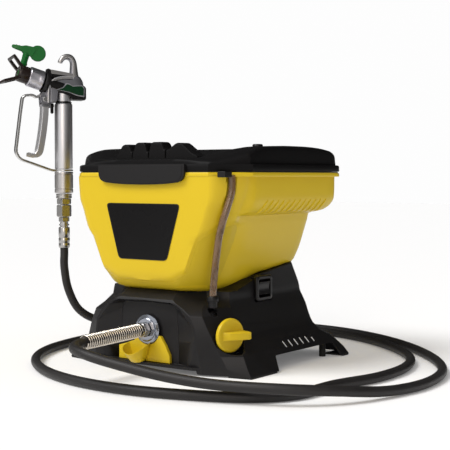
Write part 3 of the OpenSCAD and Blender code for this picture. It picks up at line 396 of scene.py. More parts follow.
class Finish:
    """A material under one Principled shader."""

    def __init__(self, name, base, roughness=0.4, metallic=0.0, **constants):
        self.material = bpy.data.materials.new(name)
        self.material.use_nodes = True
        self.tree = self.material.node_tree
        self.tree.nodes.clear()
        self.out = self.tree.nodes.new("ShaderNodeOutputMaterial")
        self.shader = self.tree.nodes.new("ShaderNodeBsdfPrincipled")
        self.tree.links.new(self.shader.outputs[0], self.out.inputs["Surface"])
        self.material.diffuse_color = (*base, 1)
        self.feed({"Base Color": (*base, 1), "Roughness": roughness, "Metallic": metallic})
        for key, value in constants.items():
            socket = key.replace("_", " ").title().replace("Ior", "IOR")
            self.shader.inputs[socket].default_value = value

    def feed(self, values, node=None):
        node = node or self.shader
        for key, value in values.items():
            if isinstance(value, Value):
                self.tree.links.new(value.socket, node.inputs[key])
            else:
                node.inputs[key].default_value = value
        return self

    def node(self, kind, settings=None, values=None, output=0):
        """Any shader node: its settings are set first, and then its sockets get values or links."""
        made = self.tree.nodes.new(kind)
        for key, value in (settings or {}).items():
            setattr(made, key, value)
        self.feed(values or {}, made)
        return Value(self, made.outputs[output])

    def place(self, stretch=(1, 1, 1), lean=(0, 0, 0)):
        """Where a point of the surface is, in metres times the stretch."""
        here = self.node("ShaderNodeTexCoord", output="Object")
        return self.node("ShaderNodeMapping", None,
                         {"Vector": here, "Scale": stretch, "Rotation": lean})

    def grain(self, size, detail=2.0, where=None):
        """Cloudy noise from 0 to 1, its clouds about size millimetres across."""
        return self.node("ShaderNodeTexNoise", None,
                         {"Vector": where or self.place(), "Scale": 1000.0 / size, "Detail": detail,
                          "Roughness": 0.55})

    def blend(self, amount, *pair):
        """A mix of two colours, each a tuple or a value."""
        first, second = [(*c, 1) if isinstance(c, tuple) else c for c in pair]
        return self.node("ShaderNodeMix", {"data_type": "RGBA"}, {0: amount, 6: first, 7: second},
                         output=2)

    def band(self, value, low, high):
        """0 below low, 1 above high and a ramp between."""
        return self.node("ShaderNodeMapRange", {"interpolation_type": "SMOOTHSTEP"},
                         {"Value": value, "From Min": low, "From Max": high})

    def relief(self, height, depth):
        """Fine relief of the surface, depth in millimetres."""
        bump = self.node("ShaderNodeBump", None,
                         {"Height": height, "Strength": 1.0, "Distance": depth * MM})
        self.shader.inputs["Normal"].default_value = (0, 0, 0)
        return self.feed({"Normal": bump})


def scaled(base, factor):
    return tuple(c * factor for c in base)


def moulded_plastic(name, base, shade, roughness, grain=0.9, depth=0.02, gloss=0.0, sheen=0.22):
    """Injection-moulded plastic: a faint flow in its colour and a fine spark-eroded grain."""
    f = Finish(name, base, roughness, coat_weight=gloss, coat_roughness=0.12,
               specular_ior_level=sheen)
    flow = f.grain(90, 3)
    fine = f.grain(grain, 2)
    scuff = f.band(f.grain(14, 5), 0.58, 0.8)
    f.feed({"Base Color": f.blend(flow * 0.55 + scuff * 0.2, base, shade),
            "Roughness": roughness + (flow - 0.5) * 0.12 + scuff * 0.06})
    f.relief(fine, depth)
    return f.material


def cast_metal(name, base, roughness, pit=1.6, depth=0.03):
    """Die-cast metal: slightly uneven, a little darker where it is rougher."""
    f = Finish(name, base, roughness, 1.0)
    clouds, pits = f.grain(12, 3), f.grain(pit, 3)
    f.feed({"Base Color": f.blend(clouds * 0.5, base, scaled(base, 0.72)),
            "Roughness": roughness + (clouds - 0.5) * 0.18 + pits * 0.05})
    f.relief(pits, depth)
    return f.material


def drawn_metal(name, base, roughness, stretch=(1, 1, 0.03), depth=0.006):
    """Drawn or turned metal: fine streaks along one direction."""
    f = Finish(name, base, roughness, 1.0)
    where = f.place(stretch)
    streaks, clouds = f.grain(0.8, 3, where), f.grain(20, 2)
    f.feed({"Base Color": f.blend(streaks * 0.4 + clouds * 0.15, base, scaled(base, 0.8)),
            "Roughness": roughness + (streaks - 0.5) * 0.14 + (clouds - 0.5) * 0.08})
    f.relief(streaks, depth)
    return f.material


def hose_rubber(name, base):
    """Black rubber hose with the fine cross-hatched braid that prints through its cover."""
    f = Finish(name, base, 0.42, specular_ior_level=0.3)
    run = f.node("ShaderNodeAttribute", {"attribute_name": "run"}, output="Vector")
    along = f.node("ShaderNodeSeparateXYZ", None, {0: run}, output="X")
    around = Value(f, along.socket.node.outputs["Y"])
    full_turn, strands, pitch = 6.283185, 14, 2600.0
    one = f.node("ShaderNodeMath", {"operation": "SINE"},
                 {0: along * pitch + around * (strands * full_turn)})
    two = f.node("ShaderNodeMath", {"operation": "SINE"},
                 {0: along * pitch - around * (strands * full_turn)})
    braid = one * two * 0.5 + 0.5
    dust = f.grain(30, 3)
    f.feed({"Base Color": f.blend(dust * 0.5 + braid * 0.12, base,
                                  tuple(c * 2.2 + 0.006 for c in base)),
            "Roughness": 0.36 + dust * 0.12 + (1 - braid) * 0.08})
    f.relief(braid, 0.12)
    return f.material


def clear_tube(name, base):
    """Clear flexible tube with traces of paint inside."""
    f = Finish(name, base, 0.16, ior=1.42, transmission_weight=0.55, coat_weight=0.6)
    film = f.band(f.grain(9, 3, f.place((1, 1, 0.35))), 0.35, 0.7)
    f.feed({"Base Color": f.blend(film, base, scaled(base, 0.6)), "Roughness": 0.14 + film * 0.2})
    f.relief(f.grain(2.5), 0.03)
    return f.material


def circuit_board(name, base):
    f = Finish(name, base, 0.35)
    tracks = f.band(f.grain(1.5, 0, f.place((1, 0.15, 1))), 0.5, 0.53)
    f.feed({"Base Color": f.blend(tracks, base, scaled(base, 1.9)),
            "Roughness": 0.32 + tracks * 0.12})
    return f.material


def make_finishes(colours):
    """All the finishes of the sprayer by name."""
    y, k, g = tuple(colours.yellow), tuple(colours.black), tuple(colours.green)
    table = [
        (moulded_plastic, "yellow_shell", y, (y[0] * 0.95, y[1] * 0.9, y[2] * 0.7), 0.36, 1.1,
         0.016, 0.06),
        (moulded_plastic, "yellow_inside", scaled(y, 0.9), scaled(y, 0.72), 0.45),
        (moulded_plastic, "black_shell", k, scaled(k, 1.7), 0.44, 0.55, 0.03),
        # The lid's black is the base's black at half strength: painted shade on the lid
        (moulded_plastic, "lid_black", scaled(k, 0.5), scaled(k, 0.9), 0.5, 0.55, 0.02, 0.0, 0.09),
        (moulded_plastic, "black_trim", scaled(k, 0.6), scaled(k, 1.3), 0.34, 0.8, 0.012, 0.1),
        (moulded_plastic, "label_face", scaled(k, 0.62), scaled(k, 0.95), 0.28, 0.4, 0.006, 0.06,
         0.08),
        (moulded_plastic, "rubber", (0.014, 0.014, 0.014), (0.03, 0.03, 0.03), 0.7, 0.7, 0.05),
        (hose_rubber, "hose_cover", (0.012, 0.011, 0.011)),
        (moulded_plastic, "green_plastic", g, (g[0], g[1] * 0.55, g[2] * 0.6), 0.3, 0.9, 0.02, 0.08,
         0.14),
        (moulded_plastic, "dark_green", (0.006, 0.045, 0.016), (0.004, 0.03, 0.012), 0.3, 0.5, 0.01,
         0.1, 0.12),
        (moulded_plastic, "filter_mesh", (0.75, 0.6, 0.08), (0.6, 0.45, 0.05), 0.5),
        (cast_metal, "alloy", (0.52, 0.5, 0.49), 0.3),
        (cast_metal, "dark_alloy", (0.3, 0.3, 0.33), 0.42),
        (cast_metal, "nut_alloy", (0.62, 0.61, 0.66), 0.36, 0.8, 0.02),
        (drawn_metal, "satin_tube", (0.64, 0.635, 0.65), 0.4),
        (drawn_metal, "chrome", (0.62, 0.63, 0.66), 0.1, (0.04, 1, 1), 0.003),
        # Chrome darkened in colour: painted dark reflection on the polished outlet disc
        (drawn_metal, "dark_chrome", (0.34, 0.36, 0.41), 0.16, (0.04, 1, 1), 0.003),
        (drawn_metal, "steel", (0.45, 0.44, 0.43), 0.28, (1, 1, 1)),
        (drawn_metal, "spring_wire", (0.72, 0.66, 0.58), 0.2, (1, 0.2, 1)),
        (drawn_metal, "copper", (0.62, 0.27, 0.12), 0.3, (1, 1, 1)),
        (drawn_metal, "bronze", (0.5, 0.33, 0.13), 0.32, (0.1, 1, 1)),
        (cast_metal, "guard_alloy", (0.6, 0.59, 0.58), 0.24, 2.2, 0.02),
        (moulded_plastic, "brown_black", (0.014, 0.009, 0.008), (0.03, 0.016, 0.012), 0.3, 0.7,
         0.015, 0.2),
        (clear_tube, "clear_tube", tuple(colours.tube)),
        (moulded_plastic, "tube_core", (0.1, 0.04, 0.014), (0.2, 0.09, 0.03), 0.5, 3, 0.02),
        (circuit_board, "board", (0.01, 0.07, 0.03)),
    ]
    return {name: make(name, *numbers) for make, name, *numbers in table}


FINISH = {}


# ---------- hose, spring and fittings ----------
HOSE_ROUTE = [
    (0, NUT_Y - 9, OUTLET_Z), (0, -200, 56), (0, -262, 54), (16, -296, 52), (50, -308, 48),
    (90, -301, 40),
    (156, -285, 29), (220, -266, 23), (290, -236, 21), (336, -190, 17), (366, -120, 9),
    (378, -40, 7),
    (362, 50, 7), (316, 134, 7), (240, 218, 7), (150, 284, 7), (50, 326, 7), (-50, 332, 7),
    (-140, 300, 7), (-205, 240, 7), (-236, 160, 7), (-244, 70, 7), (-238, -20, 7), (-212, -112, 7),
    (-160, -190, 7), (-80, -250, 7), (10, -282, 7), (105, -286, 7), (190, -266, 7), (250, -238, 7),
    (284, -190, 7), (290, -110, 7), (308, -30, 7), (304, 54, 7), (274, 134, 7), (214, 206, 7),
    (130, 268, 7), (40, 302, 7), (-60, 302, 9), (-145, 270, 17), (-205, 218, 22), (-248, 150, 22),
    (-278, 90, 24), (-296, 50, 44), (-304, 30, 80), (GUN_AT[0], GUN_AT[1], 118),
    (GUN_AT[0], GUN_AT[1], 144), (GUN_AT[0], GUN_AT[1], 172)]
SPRING_Y0 = NUT_Y - 14
# Guard spring: its turns, the wire's steps in a turn, the radius of coil and wire, and its fall
SPRING_TURNS, WIRE_STEPS, COIL_RADIUS, WIRE_RADIUS, SPRING_FALL = 26, 16, 8.9, 1.15, 3.2


def make_hose(sizes):
    line = flowing(HOSE_ROUTE, 8)
    cover = Shape().pipe(line, sizes.hose_diameter / 2 / MM, 20)
    hose = cover.piece("paint_hose", "machine", ["hose_cover"], "rubber", ["hose"], crease=60,
                       weld=0)

    # The wire stands nearly upright round the hose, coil beside coil
    n, start = SPRING_TURNS * WIRE_STEPS, SPRING_Y0 - 1.1
    end = SPRING_Y0 - sizes.spring_length / MM + 1.1
    wire = []
    for i in range(n + 1):
        t, a = i / n, 2 * math.pi * i / WIRE_STEPS
        wire.append((COIL_RADIUS * math.cos(a), mid(start, end, t),
                     OUTLET_Z - SPRING_FALL * t + COIL_RADIUS * math.sin(a)))
    coil = Shape().pipe(wire, WIRE_RADIUS, 8)
    spring = coil.piece("hose_guard_spring", "machine", ["spring_wire"], "steel", ["hose_spring"],
                        crease=60, weld=0)

    # Hose nut: hexagon at the disc, then a turned sleeve over the spring's end
    at = move(0, NUT_Y, OUTLET_Z) @ ALONG_MINUS_Y
    nut = Shape()
    nut.flats(19, 0, 10.6, 1.2, at=at)
    nut.turned([(9.1, 10.7), (9.1, 12.6), (8.8, 13.9), (7.0, 13.9), (7.0, 10.7)], 0, at)
    swivel = nut.piece("hose_nut_turned", "machine", ["steel"], "steel", ["hose_nut"], edge=0.3)

    # Crimped ferrule under the gun, with its rings and hexagon
    at = move(*GUN_AT)
    crimp = Shape().turned([(6.8, 152), (8.6, 152), (9.2, 153.4), (9.2, 158), (8.8, 159),
                            (8.8, 160.4), (9.2, 161.4), (9.2, 167), (8.8, 168), (8.8, 169.4),
                            (9.2, 170.4), (9.2, 184.8), (8.6, 186), (6.6, 186), (6.6, 188.4),
                            (8.4, 188.8), (8.4, 191.2), (6.6, 191.6), (6.6, 195)], 0, at)
    crimp.flats(16, 195, 203, 1.0, at=at)
    ferrule = crimp.piece("hose_crimp", "machine", ["steel"], "steel", ["hose_ferrule"], edge=0.2)
    turning = Shape().flats(22, 203.4, 223.2, 1.4, at=at)
    turning.turned([(6.1, 223.2), (9.6, 223.2), (9.6, 223.3), (6.1, 223.3)], 0, at)
    top_nut = turning.piece("hose_swivel_nut", "machine", ["steel"], "steel", ["swivel_nut"],
                            edge=0.3)

    length = sum((line[i + 1] - line[i]).length for i in range(len(line) - 1)) * MM
    tuple(line[0] * MM)
    [tuple(p * MM) for p in line]


# ---------- hopper ----------
# Height, half width of the front, half width at the front corner, front, rear, front corner depth,
# rear corner cut, half width behind the front corner, half width at the rear
TANK_ROWS = [
    (112, 44, 79, -119, 96, 28, 16, 79, 79), (118, 50, 86, -133, 100, 34, 16, 86, 86),
    (127, 56, 91, -139, 102, 38, 17, 91, 91), (141, 71, 98, -141, 105, 40, 18, 98, 98),
    (165, 82, 110, -141, 109, 40, 20, 110, 109), (184, 90, 119, -141, 112, 40, 22, 118, 115),
    (205, 99, 126, -141, 116, 41, 23, 124, 120), (216.5, 103, 130, -141, 118, 42, 23, 126.5, 122.5),
    (218.5, 103.5, 131, -141, 126, 42.5, 24.5, 133, 131),
    (221, 104, 132.5, -141, 135, 43, 26, 138, 138),
    (230, 108, 136.5, -141, 147, 44, 26, 145, 145), (238, 111, 140, -141, 150, 45, 26, 148, 148),
    (252, 112, 143, -141, 151.4, 47, 27, 148.7, 148.7),
    (270, 113, 145, -141, 152, 48, 28, 149, 149)]
SEAT_LINE = [(-200, 112), (-52, 112), (-4, 130), (86, 143), (200, 158)]
# Where the front face steps back toward its lower corners: (x, height)
CREASE_LINE = [(20, 127), (49, 128), (73, 141.5), (83, 165), (91, 184), (116, 202), (141, 215),
               (170, 216)]
RETURN_ROUTE = [(98, -110, 96), (98, -110, 106), (100, -111, 122), (107, -117, 146),
                (113, -121, 168), (119, -124, 190), (127, -127, 210), (132, -124, 228),
                (136, -119, 250), (136, -119, 272)]


def seat_height(y):
    for a, b in zip(SEAT_LINE, SEAT_LINE[1:]):
        if y <= b[0]:
            return a[1] + (b[1] - a[1]) * (y - a[0]) / (b[0] - a[0])
    return SEAT_LINE[-1][1]


def past_crease(x, z):
    """How far a point of the front lies below and outside the crease line."""
    best, side = 1e9, 1
    for a, b in zip(CREASE_LINE, CREASE_LINE[1:]):
        d = Vector((b[0] - a[0], b[1] - a[1]))
        v = Vector((x - a[0], z - a[1]))
        t = min(1, max(0, v.dot(d) / d.length_squared))
        gap = (v - d * t).length
        if gap < best:
            best, side = gap, 1 if d.x * v.y - d.y * v.x < 0 else -1
    return best * side


def wall_ring(s, wall=0.0, fine=1.0):
    """Half outline of the hopper on the right side, front to rear."""
    s0, s1, front, rear, deep, cut, w1, w2 = s
    s0, s1, front, rear = s0 - wall * 0.6, s1 - wall, front + wall, rear - wall
    w1, w2 = w1 - wall, w2 - wall
    a, b = Vector((s0, front)), Vector((s1, front + deep))
    reach = (b - a).length
    points = [Vector((s0 * t / 8, front)) for t in range(8)]
    n = int(30 * fine)
    for i in range(n + 1):
        t = i / n
        points.append((1 - t) ** 3 * a + 3 * t * (1 - t) ** 2 * (a + Vector((reach * 0.26, 0)))
                      + 3 * t * t * (1 - t) * (b - Vector((0, reach * 0.24))) + t ** 3 * b)
    c = Vector((w1, front + deep + 16))
    for i in range(1, 6):
        t = i / 5
        points.append(Vector((mid(b.x, c.x, smooth_step(0, 1, t)), mid(b.y, c.y, t))))
    d = Vector((w2, rear - cut))
    points += [mid(c, d, i / 16) for i in range(1, 17)]
    e = Vector((w2 - cut, rear))
    points += curve(d, mid((d + e) / 2, Vector((w2, rear)), 0.7), e, 8)[1:]
    points += [Vector((e.x * (1 - i / 6), rear)) for i in range(1, 7)]
    return points


def groove_depth(p, way, route, reach):
    """How far a wall point is moved in so that the return tube has room beside it."""
    for a, b in zip(route, route[1:]):
        if a.z <= p.z <= b.z:
            c = mid(a, b, (p.z - a.z) / (b.z - a.z))
            v = Vector((p.x - c.x, p.y - c.y))
            if v.length < reach:
                along = v.dot(way)
                return max(0.0, along + math.sqrt(along * along - v.length_squared + reach * reach))
    return 0.0


def skin_point(z, j, ring, side, route=None):
    """One point of the hopper wall with its step and its groove for the return tube."""
    p = ring[j]
    before, after = ring[max(j - 1, 0)], ring[min(j + 1, len(ring) - 1)]
    d = (after - before).normalized()
    way = Vector((d.y, -d.x))
    q = p.copy()
    if p.y < 0:
        # The lower front corners step back
        q -= way * 4.2 * smooth_step(-2.5, 4.5, past_crease(p.x, z)) * smooth_step(-60, -96, p.y)
    x, y = q.x * side, q.y
    if route:
        x, y = Vector((x, y)) - way * groove_depth(Vector((x, y, z)), way, route, 6.6)
    return Vector((x, y, z))


def rim_ring(grow, z, bow, counts):
    """The plan of the hopper's rim and of the lid's flange, grown outward by a distance."""
    return whole(half_outline(114 + grow * 0.6, 157 + grow, -142 - grow, 160 + grow, 43, 37,
                              (bow, 0.7), counts), z)


def make_tank(sizes):
    tank = Shape()
    heights = [112, 113, 115, 118, 121, 124, 127, 130, 134, 138, 142, 147, 152, 158, 164, 170, 176,
               182, 188, 193, 197, 200, 203, 206, 208, 210, 212, 214, 216, 217.5, 219, 221, 223,
               226, 229, 232, 235, 238, 242, 246, 251, 256, 262, 268, 270.5]
    route = flowing(RETURN_ROUTE, 4)
    rings = []
    for z in heights:
        half = wall_ring(along_table(TANK_ROWS, z))
        right = [skin_point(z, j, half, 1, route) for j in range(len(half))]
        left = [skin_point(z, j, half, -1) for j in range(1, len(half) - 1)]
        rings.append([Vector((p.x, p.y, max(p.z, seat_height(p.y)))) for p in right + left[::-1]])
    tank.rings(rings, 0, ends=(True, False))
    # Inside of the hopper, its floor above the sloping underside
    inner = []
    for z in [270.5, 262, 250, 238, 228, 221, 217, 208, 196, 182, 165, 150, 140, 130, 122, 116]:
        half = wall_ring(along_table(TANK_ROWS, z), sizes.tank_wall / MM, 0.4)
        inner.append([Vector((p.x, p.y, max(z, seat_height(p.y) + 4))) for p in whole(half)])
    tank.rings(inner, 1, ends=(False, True))
    # Rim: a flat shelf with a rounded lip that turns down a little
    tank.rings([rim_ring(grow, z, 0.07, (6, 12, 8, 8, 6))
                for grow, z in [(-13, 270.2), (-2.5, 270.2), (-0.6, 269.9), (-0.1, 270.6), (0, 272),
                                (-0.3, 274.6), (-1.2, 275.8), (-2.5, 276), (-11.5, 276),
                                (-12, 275.4), (-12.2, 270.4)]], 0, ends=(False, False))
    # Slanted grip ribs along the side wall
    for i in range(12):
        y0 = -60 + i * 14.2
        line = []
        for k in range(9):
            t = k / 8
            z, y = mid(219.5, 237.5, t), y0 + 10 * t
            wide = mid(*along_table(TANK_ROWS, z)[6:], min(1, max(0, (y + 84) / 190)))
            line.append((wide + 0.25, y, z))
        rib = Shape().pipe(line, [0.5, 1.1, 1.35, 1.4, 1.4, 1.4, 1.35, 1.1, 0.5], 8)
        tank.add(rib.points, rib.faces, 0)
        tank.add([(-p.x, p.y, p.z) for p in rib.points], [tuple(reversed(f)) for f in rib.faces], 0)
    tank.piece("hopper", "machine", ["yellow_shell", "yellow_inside"], "yellow_shell", ["tank"],
               crease=32)

    # Label plate: a bare dark plate with a slightly raised field, on the front of the hopper
    top, foot = sizes.label_top / MM / 2, sizes.label_foot / MM / 2
    high, foot_z = sizes.label_height / MM, 155
    outline = round_outline([(-foot, 0), (foot, 0), (top, high), (-top, high)], 6.5, 8)
    at = move(0, TANK_FACE_Y, foot_z) @ ALONG_MINUS_Y
    label = Shape().plate(outline, 0, 0.8, 0, at)
    centre = Vector((0, high / 2))
    inside = [centre + (p - centre) * 0.972 for p in outline]
    label.plate(inside, 0.8, 1.2, 1, at)
    label.piece("label_panel", "machine", ["black_trim", "label_face"], "label", ["label_plate"],
                edge=0.25)


# ---------- lid ----------
def make_lid(_sizes):
    lid = Shape()

    def plan(shrink):
        """Outline of the lid body, drawn in by a distance."""
        return whole(half_outline(111 - shrink * 0.6, 150 - shrink, -136 + shrink, 159 - shrink,
                                  41 + shrink * 0.3, 36, (0.06, 0.75), (14, 12, 16, 10, 14)))

    middle = [(-136, 294.2), (-128, 295), (-110, 296.5), (-84, 299), (-50, 303), (-15, 307.5),
              (30, 311), (75, 312), (120, 309.5), (150, 305), (160, 302)]
    sides = [(-136, 290.5), (-122, 294), (-106, 299), (-92, 303.5), (-76, 308), (-58, 311),
             (-30, 312.6), (10, 313.6), (45, 313.6), (85, 312.4), (120, 309), (150, 303),
             (160, 300)]

    def roof(x, y):
        """Height of the roof: low behind the front lip, full along both sides."""
        lean = smooth_step(52, 118, abs(x))
        return mid(along_table(middle, y)[0], along_table(sides, y)[0], lean)

    def low_front(p):
        return smooth_step(-100, -132, p.y) * (1 - 0.5 * smooth_step(60, 118, abs(p.x)))

    def layer(shrink, drop, front_drop):
        """A ring below the roof by one drop all round and by another behind the front lip."""
        return [Vector((p.x, p.y, roof(p.x, p.y) - mid(drop, front_drop, low_front(p))))
                for p in plan(shrink)]

    foot = [Vector((p.x, p.y, FLANGE_TOP - 0.5)) for p in plan(0)]
    wall = [Vector((p.x, p.y, mid(FLANGE_TOP, p.z, 0.5))) for p in layer(0.5, 7.0, 1.4)]
    rings = [foot, wall] + [layer(*row)
                            for row in ((0.9, 7.0, 1.4), (1.5, 4.4, 0.8), (2.8, 2.3, 0.35),
                                        (4.8, 0.8, 0.1), (7.5, 0.1, 0))]
    for t in (0.1, 0.2, 0.32, 0.45, 0.58, 0.7, 0.82, 0.92):
        ring = []
        for p in plan(7.5):
            x, y = p.x * (1 - t), 14 + (p.y - 14) * (1 - t)
            ring.append(Vector((x, y, roof(x, y))))
        rings.append(ring)
    lid.rings(rings, 0, ends=(False, True))

    # Flange over the hopper's rim
    lid.rings([rim_ring(grow, z, 0, (4, 6, 6, 8, 4))
               for grow, z in [(-19, 277.6), (-12, 277.4), (-1.5, 277.3), (-0.4, 277.6), (0, 278.6),
                               (-0.2, 285), (-0.9, 286.4), (-2.4, 287), (-8.5, 287.1)]],
              0, ends=(False, False))
    # Locating skirt and the underside of the roof
    mouth = along_table(TANK_ROWS, 268)
    lid.rings([whole(wall_ring(mouth, 3.8 + shrink, 0.4), z)
               for shrink, z in [(0, 278), (0, 269), (0.4, 268.2), (2.4, 268.2), (2.8, 269),
                                 (2.8, 284), (12, 290), (60, 291)]], 1, ends=(False, True))
    # The outer skin and flange take the darker lid black, painted shade; the skirt underneath keeps
    # the base black
    lid.piece("lid_shell", "lid", ["lid_black", "black_shell"], "black_shell", ["lid"], crease=34)

    # Lift tab with a bowed lower edge and a fine bead round it
    half = [(0, -28), (26, -27.6), (46, -26.6), (62, -25), (69, -23.4), (73.5, -20.4), (76, -15.5),
            (77, -9), (77, 0)]
    outline = half + [(-x, y) for x, y in half[:0:-1]]
    at = move(0, -142.4, FLANGE_TOP) @ ALONG_MINUS_Y
    tab = Shape().plate(outline, -0.4, 4.1, 0, at)
    inner = [(x * 0.955, -14 + (y + 14) * 0.86) for x, y in outline]
    tab.plate(inner, 4.1, 4.6, 0, at)
    tab.piece("lid_tab", "lid", ["black_shell"], "black_shell", edge=0.9, crease=40, steps=3)

    # Gun rest: four crests in a row behind the front lip, leaning back a little
    crests = [
        [(-71, -4), (-68, 6.6), (-62.4, 16.6), (-59.4, 18), (-50.6, 18), (-48.2, 16.4), (-44, 9),
         (-41.6, 7.6), (-41.4, -4)],
        [(-41.4, -4), (-41.2, 7.6), (-39.8, 10), (-37.4, 19), (-35, 20.4), (-21.6, 20.4),
         (-19.4, 19), (-15, 8.6),
         (-12.6, 6.8), (-11.4, -4)],
        [(-11.4, -4), (-11.2, 7), (-10.6, 10), (-9.4, 19.4), (-7, 20.8), (8.6, 20.8), (11, 19.4),
         (15, 12), (18, 10), (19, -4)],
        [(19, -4), (19, 10), (22.4, 10.4), (33, 17.6), (36, 19), (46, 18.8), (49, 17), (66, 4),
         (76, 0), (76, -4)]]
    rest = Shape()
    rest_z = 298
    for outline in crests:
        cx = sum(p[0] for p in outline) / len(outline)
        layers = []
        # Places from the front to the rear, how far the crest is lower there and how much narrower
        for y, drop, pinch in ((-114.5, 2.2, 0.955), (-112.6, 0.6, 0.99), (-110, 0, 1), (-94, 0, 1),
                               (-91.4, 0.5, 0.99), (-90, 2, 0.96)):
            layers.append([(cx + (x - cx) * pinch, y + max(0, z) * 0.12 * (1 if y < -100 else -0.4),
                            rest_z + z - drop * (z > 6)) for x, z in outline])
        rest.rings(layers, 0)
    # The crests take the darker lid black, painted shade
    rest.piece("gun_rest", "lid", ["lid_black"], "black_shell", edge=0.7, crease=28, weld=0)

    # Peg that a loop can catch on
    at = move(112, -22, 0)
    peg = Shape().turned([(7.5, 306), (7.5, 313.6), (7.1, 315), (6.2, 315.8), (4.2, 316),
                          (3.6, 315.2), (3.4, 314.4)], 0, at, 32)
    peg.piece("lid_peg", "lid", ["black_trim"], "black_shell", crease=40)


# ---------- base ----------
# Height, hood edge x and y, leg ridge x and y, side corner x and y, half width at the rear,
# rear, rear corner cut
BASE_ROWS = [
    (2, 95, -131, 133, -119, 164, -113, 164, 166, 18),
    (12, 95, -133, 129, -120.5, 157, -111, 157, 164.5, 20),
    (28, 93, -136, 121, -123.5, 146, -105, 146, 154, 24),
    (40, 91.5, -137, 115.5, -126, 134, -98, 134, 138, 26),
    (50, 90.5, -138, 111, -128, 125, -90, 125, 129, 22),
    (57, 89.5, -138, 108, -129, 122, -86, 122, 127, 22),
    (67, 88, -138, 103, -130.5, 118, -85, 118, 125.5, 21),
    (81, 79, -138, 96, -131, 113, -83, 114, 123, 20),
    (90, 68, -138, 88, -121, 110, -83, 110, 121.5, 20),
    (97, 55, -137.5, 82.5, -103, 107, -82, 107, 120, 20),
    (101, 49, -135.5, 79, -97, 106, -82, 106, 119, 20),
    (105, 47, -129, 77, -94, 106, -81, 106, 118, 20),
    (112, 45, -118, 74, -92, 105, -80, 105, 116, 19),
    (170, 60, -112, 66, -90, 103, -78, 103, 98, 18)]
HOOD_OUTER = [(0, 98.6), (46, 97), (66, 88), (86.5, 66), (89.5, 48), (93, 11.5)]
HOOD_INNER = [(0, 95.6), (43, 94.6), (47.5, 91), (50.5, 83), (52, 50), (52, 11.5)]


def base_ring(row, wall=0.0):
    z, ex, ey, rx, ry, cx, cy, w, rear, cut = row
    ex, ey, rx, ry, cx, cy, w, rear = (ex - wall, ey + wall, rx - wall, ry + wall, cx - wall,
                                       cy + wall * 0.3, w - wall, rear - wall)
    half = [(0, ey), (ex * 0.5, ey), (ex, ey), (rx, ry), (cx, cy)]
    half += [(mid(cx, w, t), mid(cy, rear - cut, t)) for t in (0.12, 0.3, 0.5, 0.7, 0.88)]
    d, e = Vector((w, rear - cut)), Vector((w - cut, rear))
    half += curve(d, mid((d + e) / 2, Vector((w, rear)), 0.45), e, 5)
    half += [(e.x * 0.5, rear), (0, rear)]
    return whole([Vector(p) for p in half], z)


def base_skin(wall, drop, low=None):
    rings = []
    for row in BASE_ROWS:
        ring = base_ring(row, wall)
        rings.append([Vector((p.x, p.y, min(p.z, seat_height(p.y) - drop))) for p in ring])
    if low is not None:
        rings[0] = [Vector((p.x, p.y, low)) for p in rings[0]]
    return Shape().rings(rings)


def front_prism(outline, y0, y1):
    """An outline seen from the front, (x, height), made solid between two places along y."""
    return Shape().prism([(x, y, z) for y in (y0, y1) for x, z in outline])


def box_shape(low, high):
    return front_prism([(low[0], low[2]), (high[0], low[2]), (high[0], high[2]), (low[0], high[2])],
                       low[1], high[1])


def arched(half):
    return half + [(-x, z) for x, z in half[:0:-1]]


def make_base(sizes):
    outer = base_skin(0, 0.3)
    hollow = base_skin(3, 4.3, -1)
    for p in hollow.points:
        p.y = max(p.y, -122.7)
    recess = Shape().rings([[Vector((x, y, z)) for x, z in arched(outline)] for y, outline in
                            ((-175, HOOD_OUTER), (-138.6, HOOD_OUTER), (-126, HOOD_INNER))])
    window = front_prism(arched([(0, 95.4), (43, 94.4), (47.3, 90.8), (50.3, 83), (51.8, 50),
                                 (51.8, 11.7)]), -130, -121)
    cutters = [hollow, recess, window]
    for side in (1, -1):
        arch = [(-46, -2), (-34, 20), (-31.5, 21.2), (119.5, 21.2), (122, 20), (132, -2)]
        cutters.append(Shape().prism([(x, y, z) for x in (side * 112, side * 200)
                                      for y, z in arch]))
        slots = Shape()
        for i in range(sizes.slot_count):
            y = 2 + i * 15
            slot = round_outline([(y, 27.2), (y + 5, 27.2), (y + 5, 36), (y, 36)], 1.8, 3)
            slots.prism([(x, a, b) for x in (side * 120, side * 185) for a, b in slot])
        cutters.append(slots)
    x, y, z = SWITCH_AT
    cutters += [front_prism(arched([(0, 20), (97, 20), (100, 19), (111, -2)]), 60, 200),
                front_prism(arched([(0, 10), (82, 10), (85, 9), (88, -2)]), -200, -90),
                bore(25, -4, 60, AT_KNOB, 64), bore(5.6, -14, 0, AT_KNOB),
                box_shape((x + 0.1, y - 20.3, z - 18.3), (x + 20, y + 20.3, z + 18.3)),
                box_shape((x - 12, y - 17, z - 15), (x + 5, y + 17, z + 15)),
                bore(15, 100, 125, move(0, -86), 48), bore(8.3, 99.7, 125, move(*TUBE_FOOT)),
                bore(6.5, 80, 110, move(*TUBE_FOOT)),
                bore(8, -145, -80, move(-60, 0, 66) @ ALONG_MINUS_Y)]
    mesh = carved(outer, cutters, "base_shell")
    shell = dressed(mesh, "base_shell", "machine", ["black_shell"], ["base_housing"],
                    0.8, 24, 2)
    shell.modifiers["eased edges"].use_clamp_overlap = False


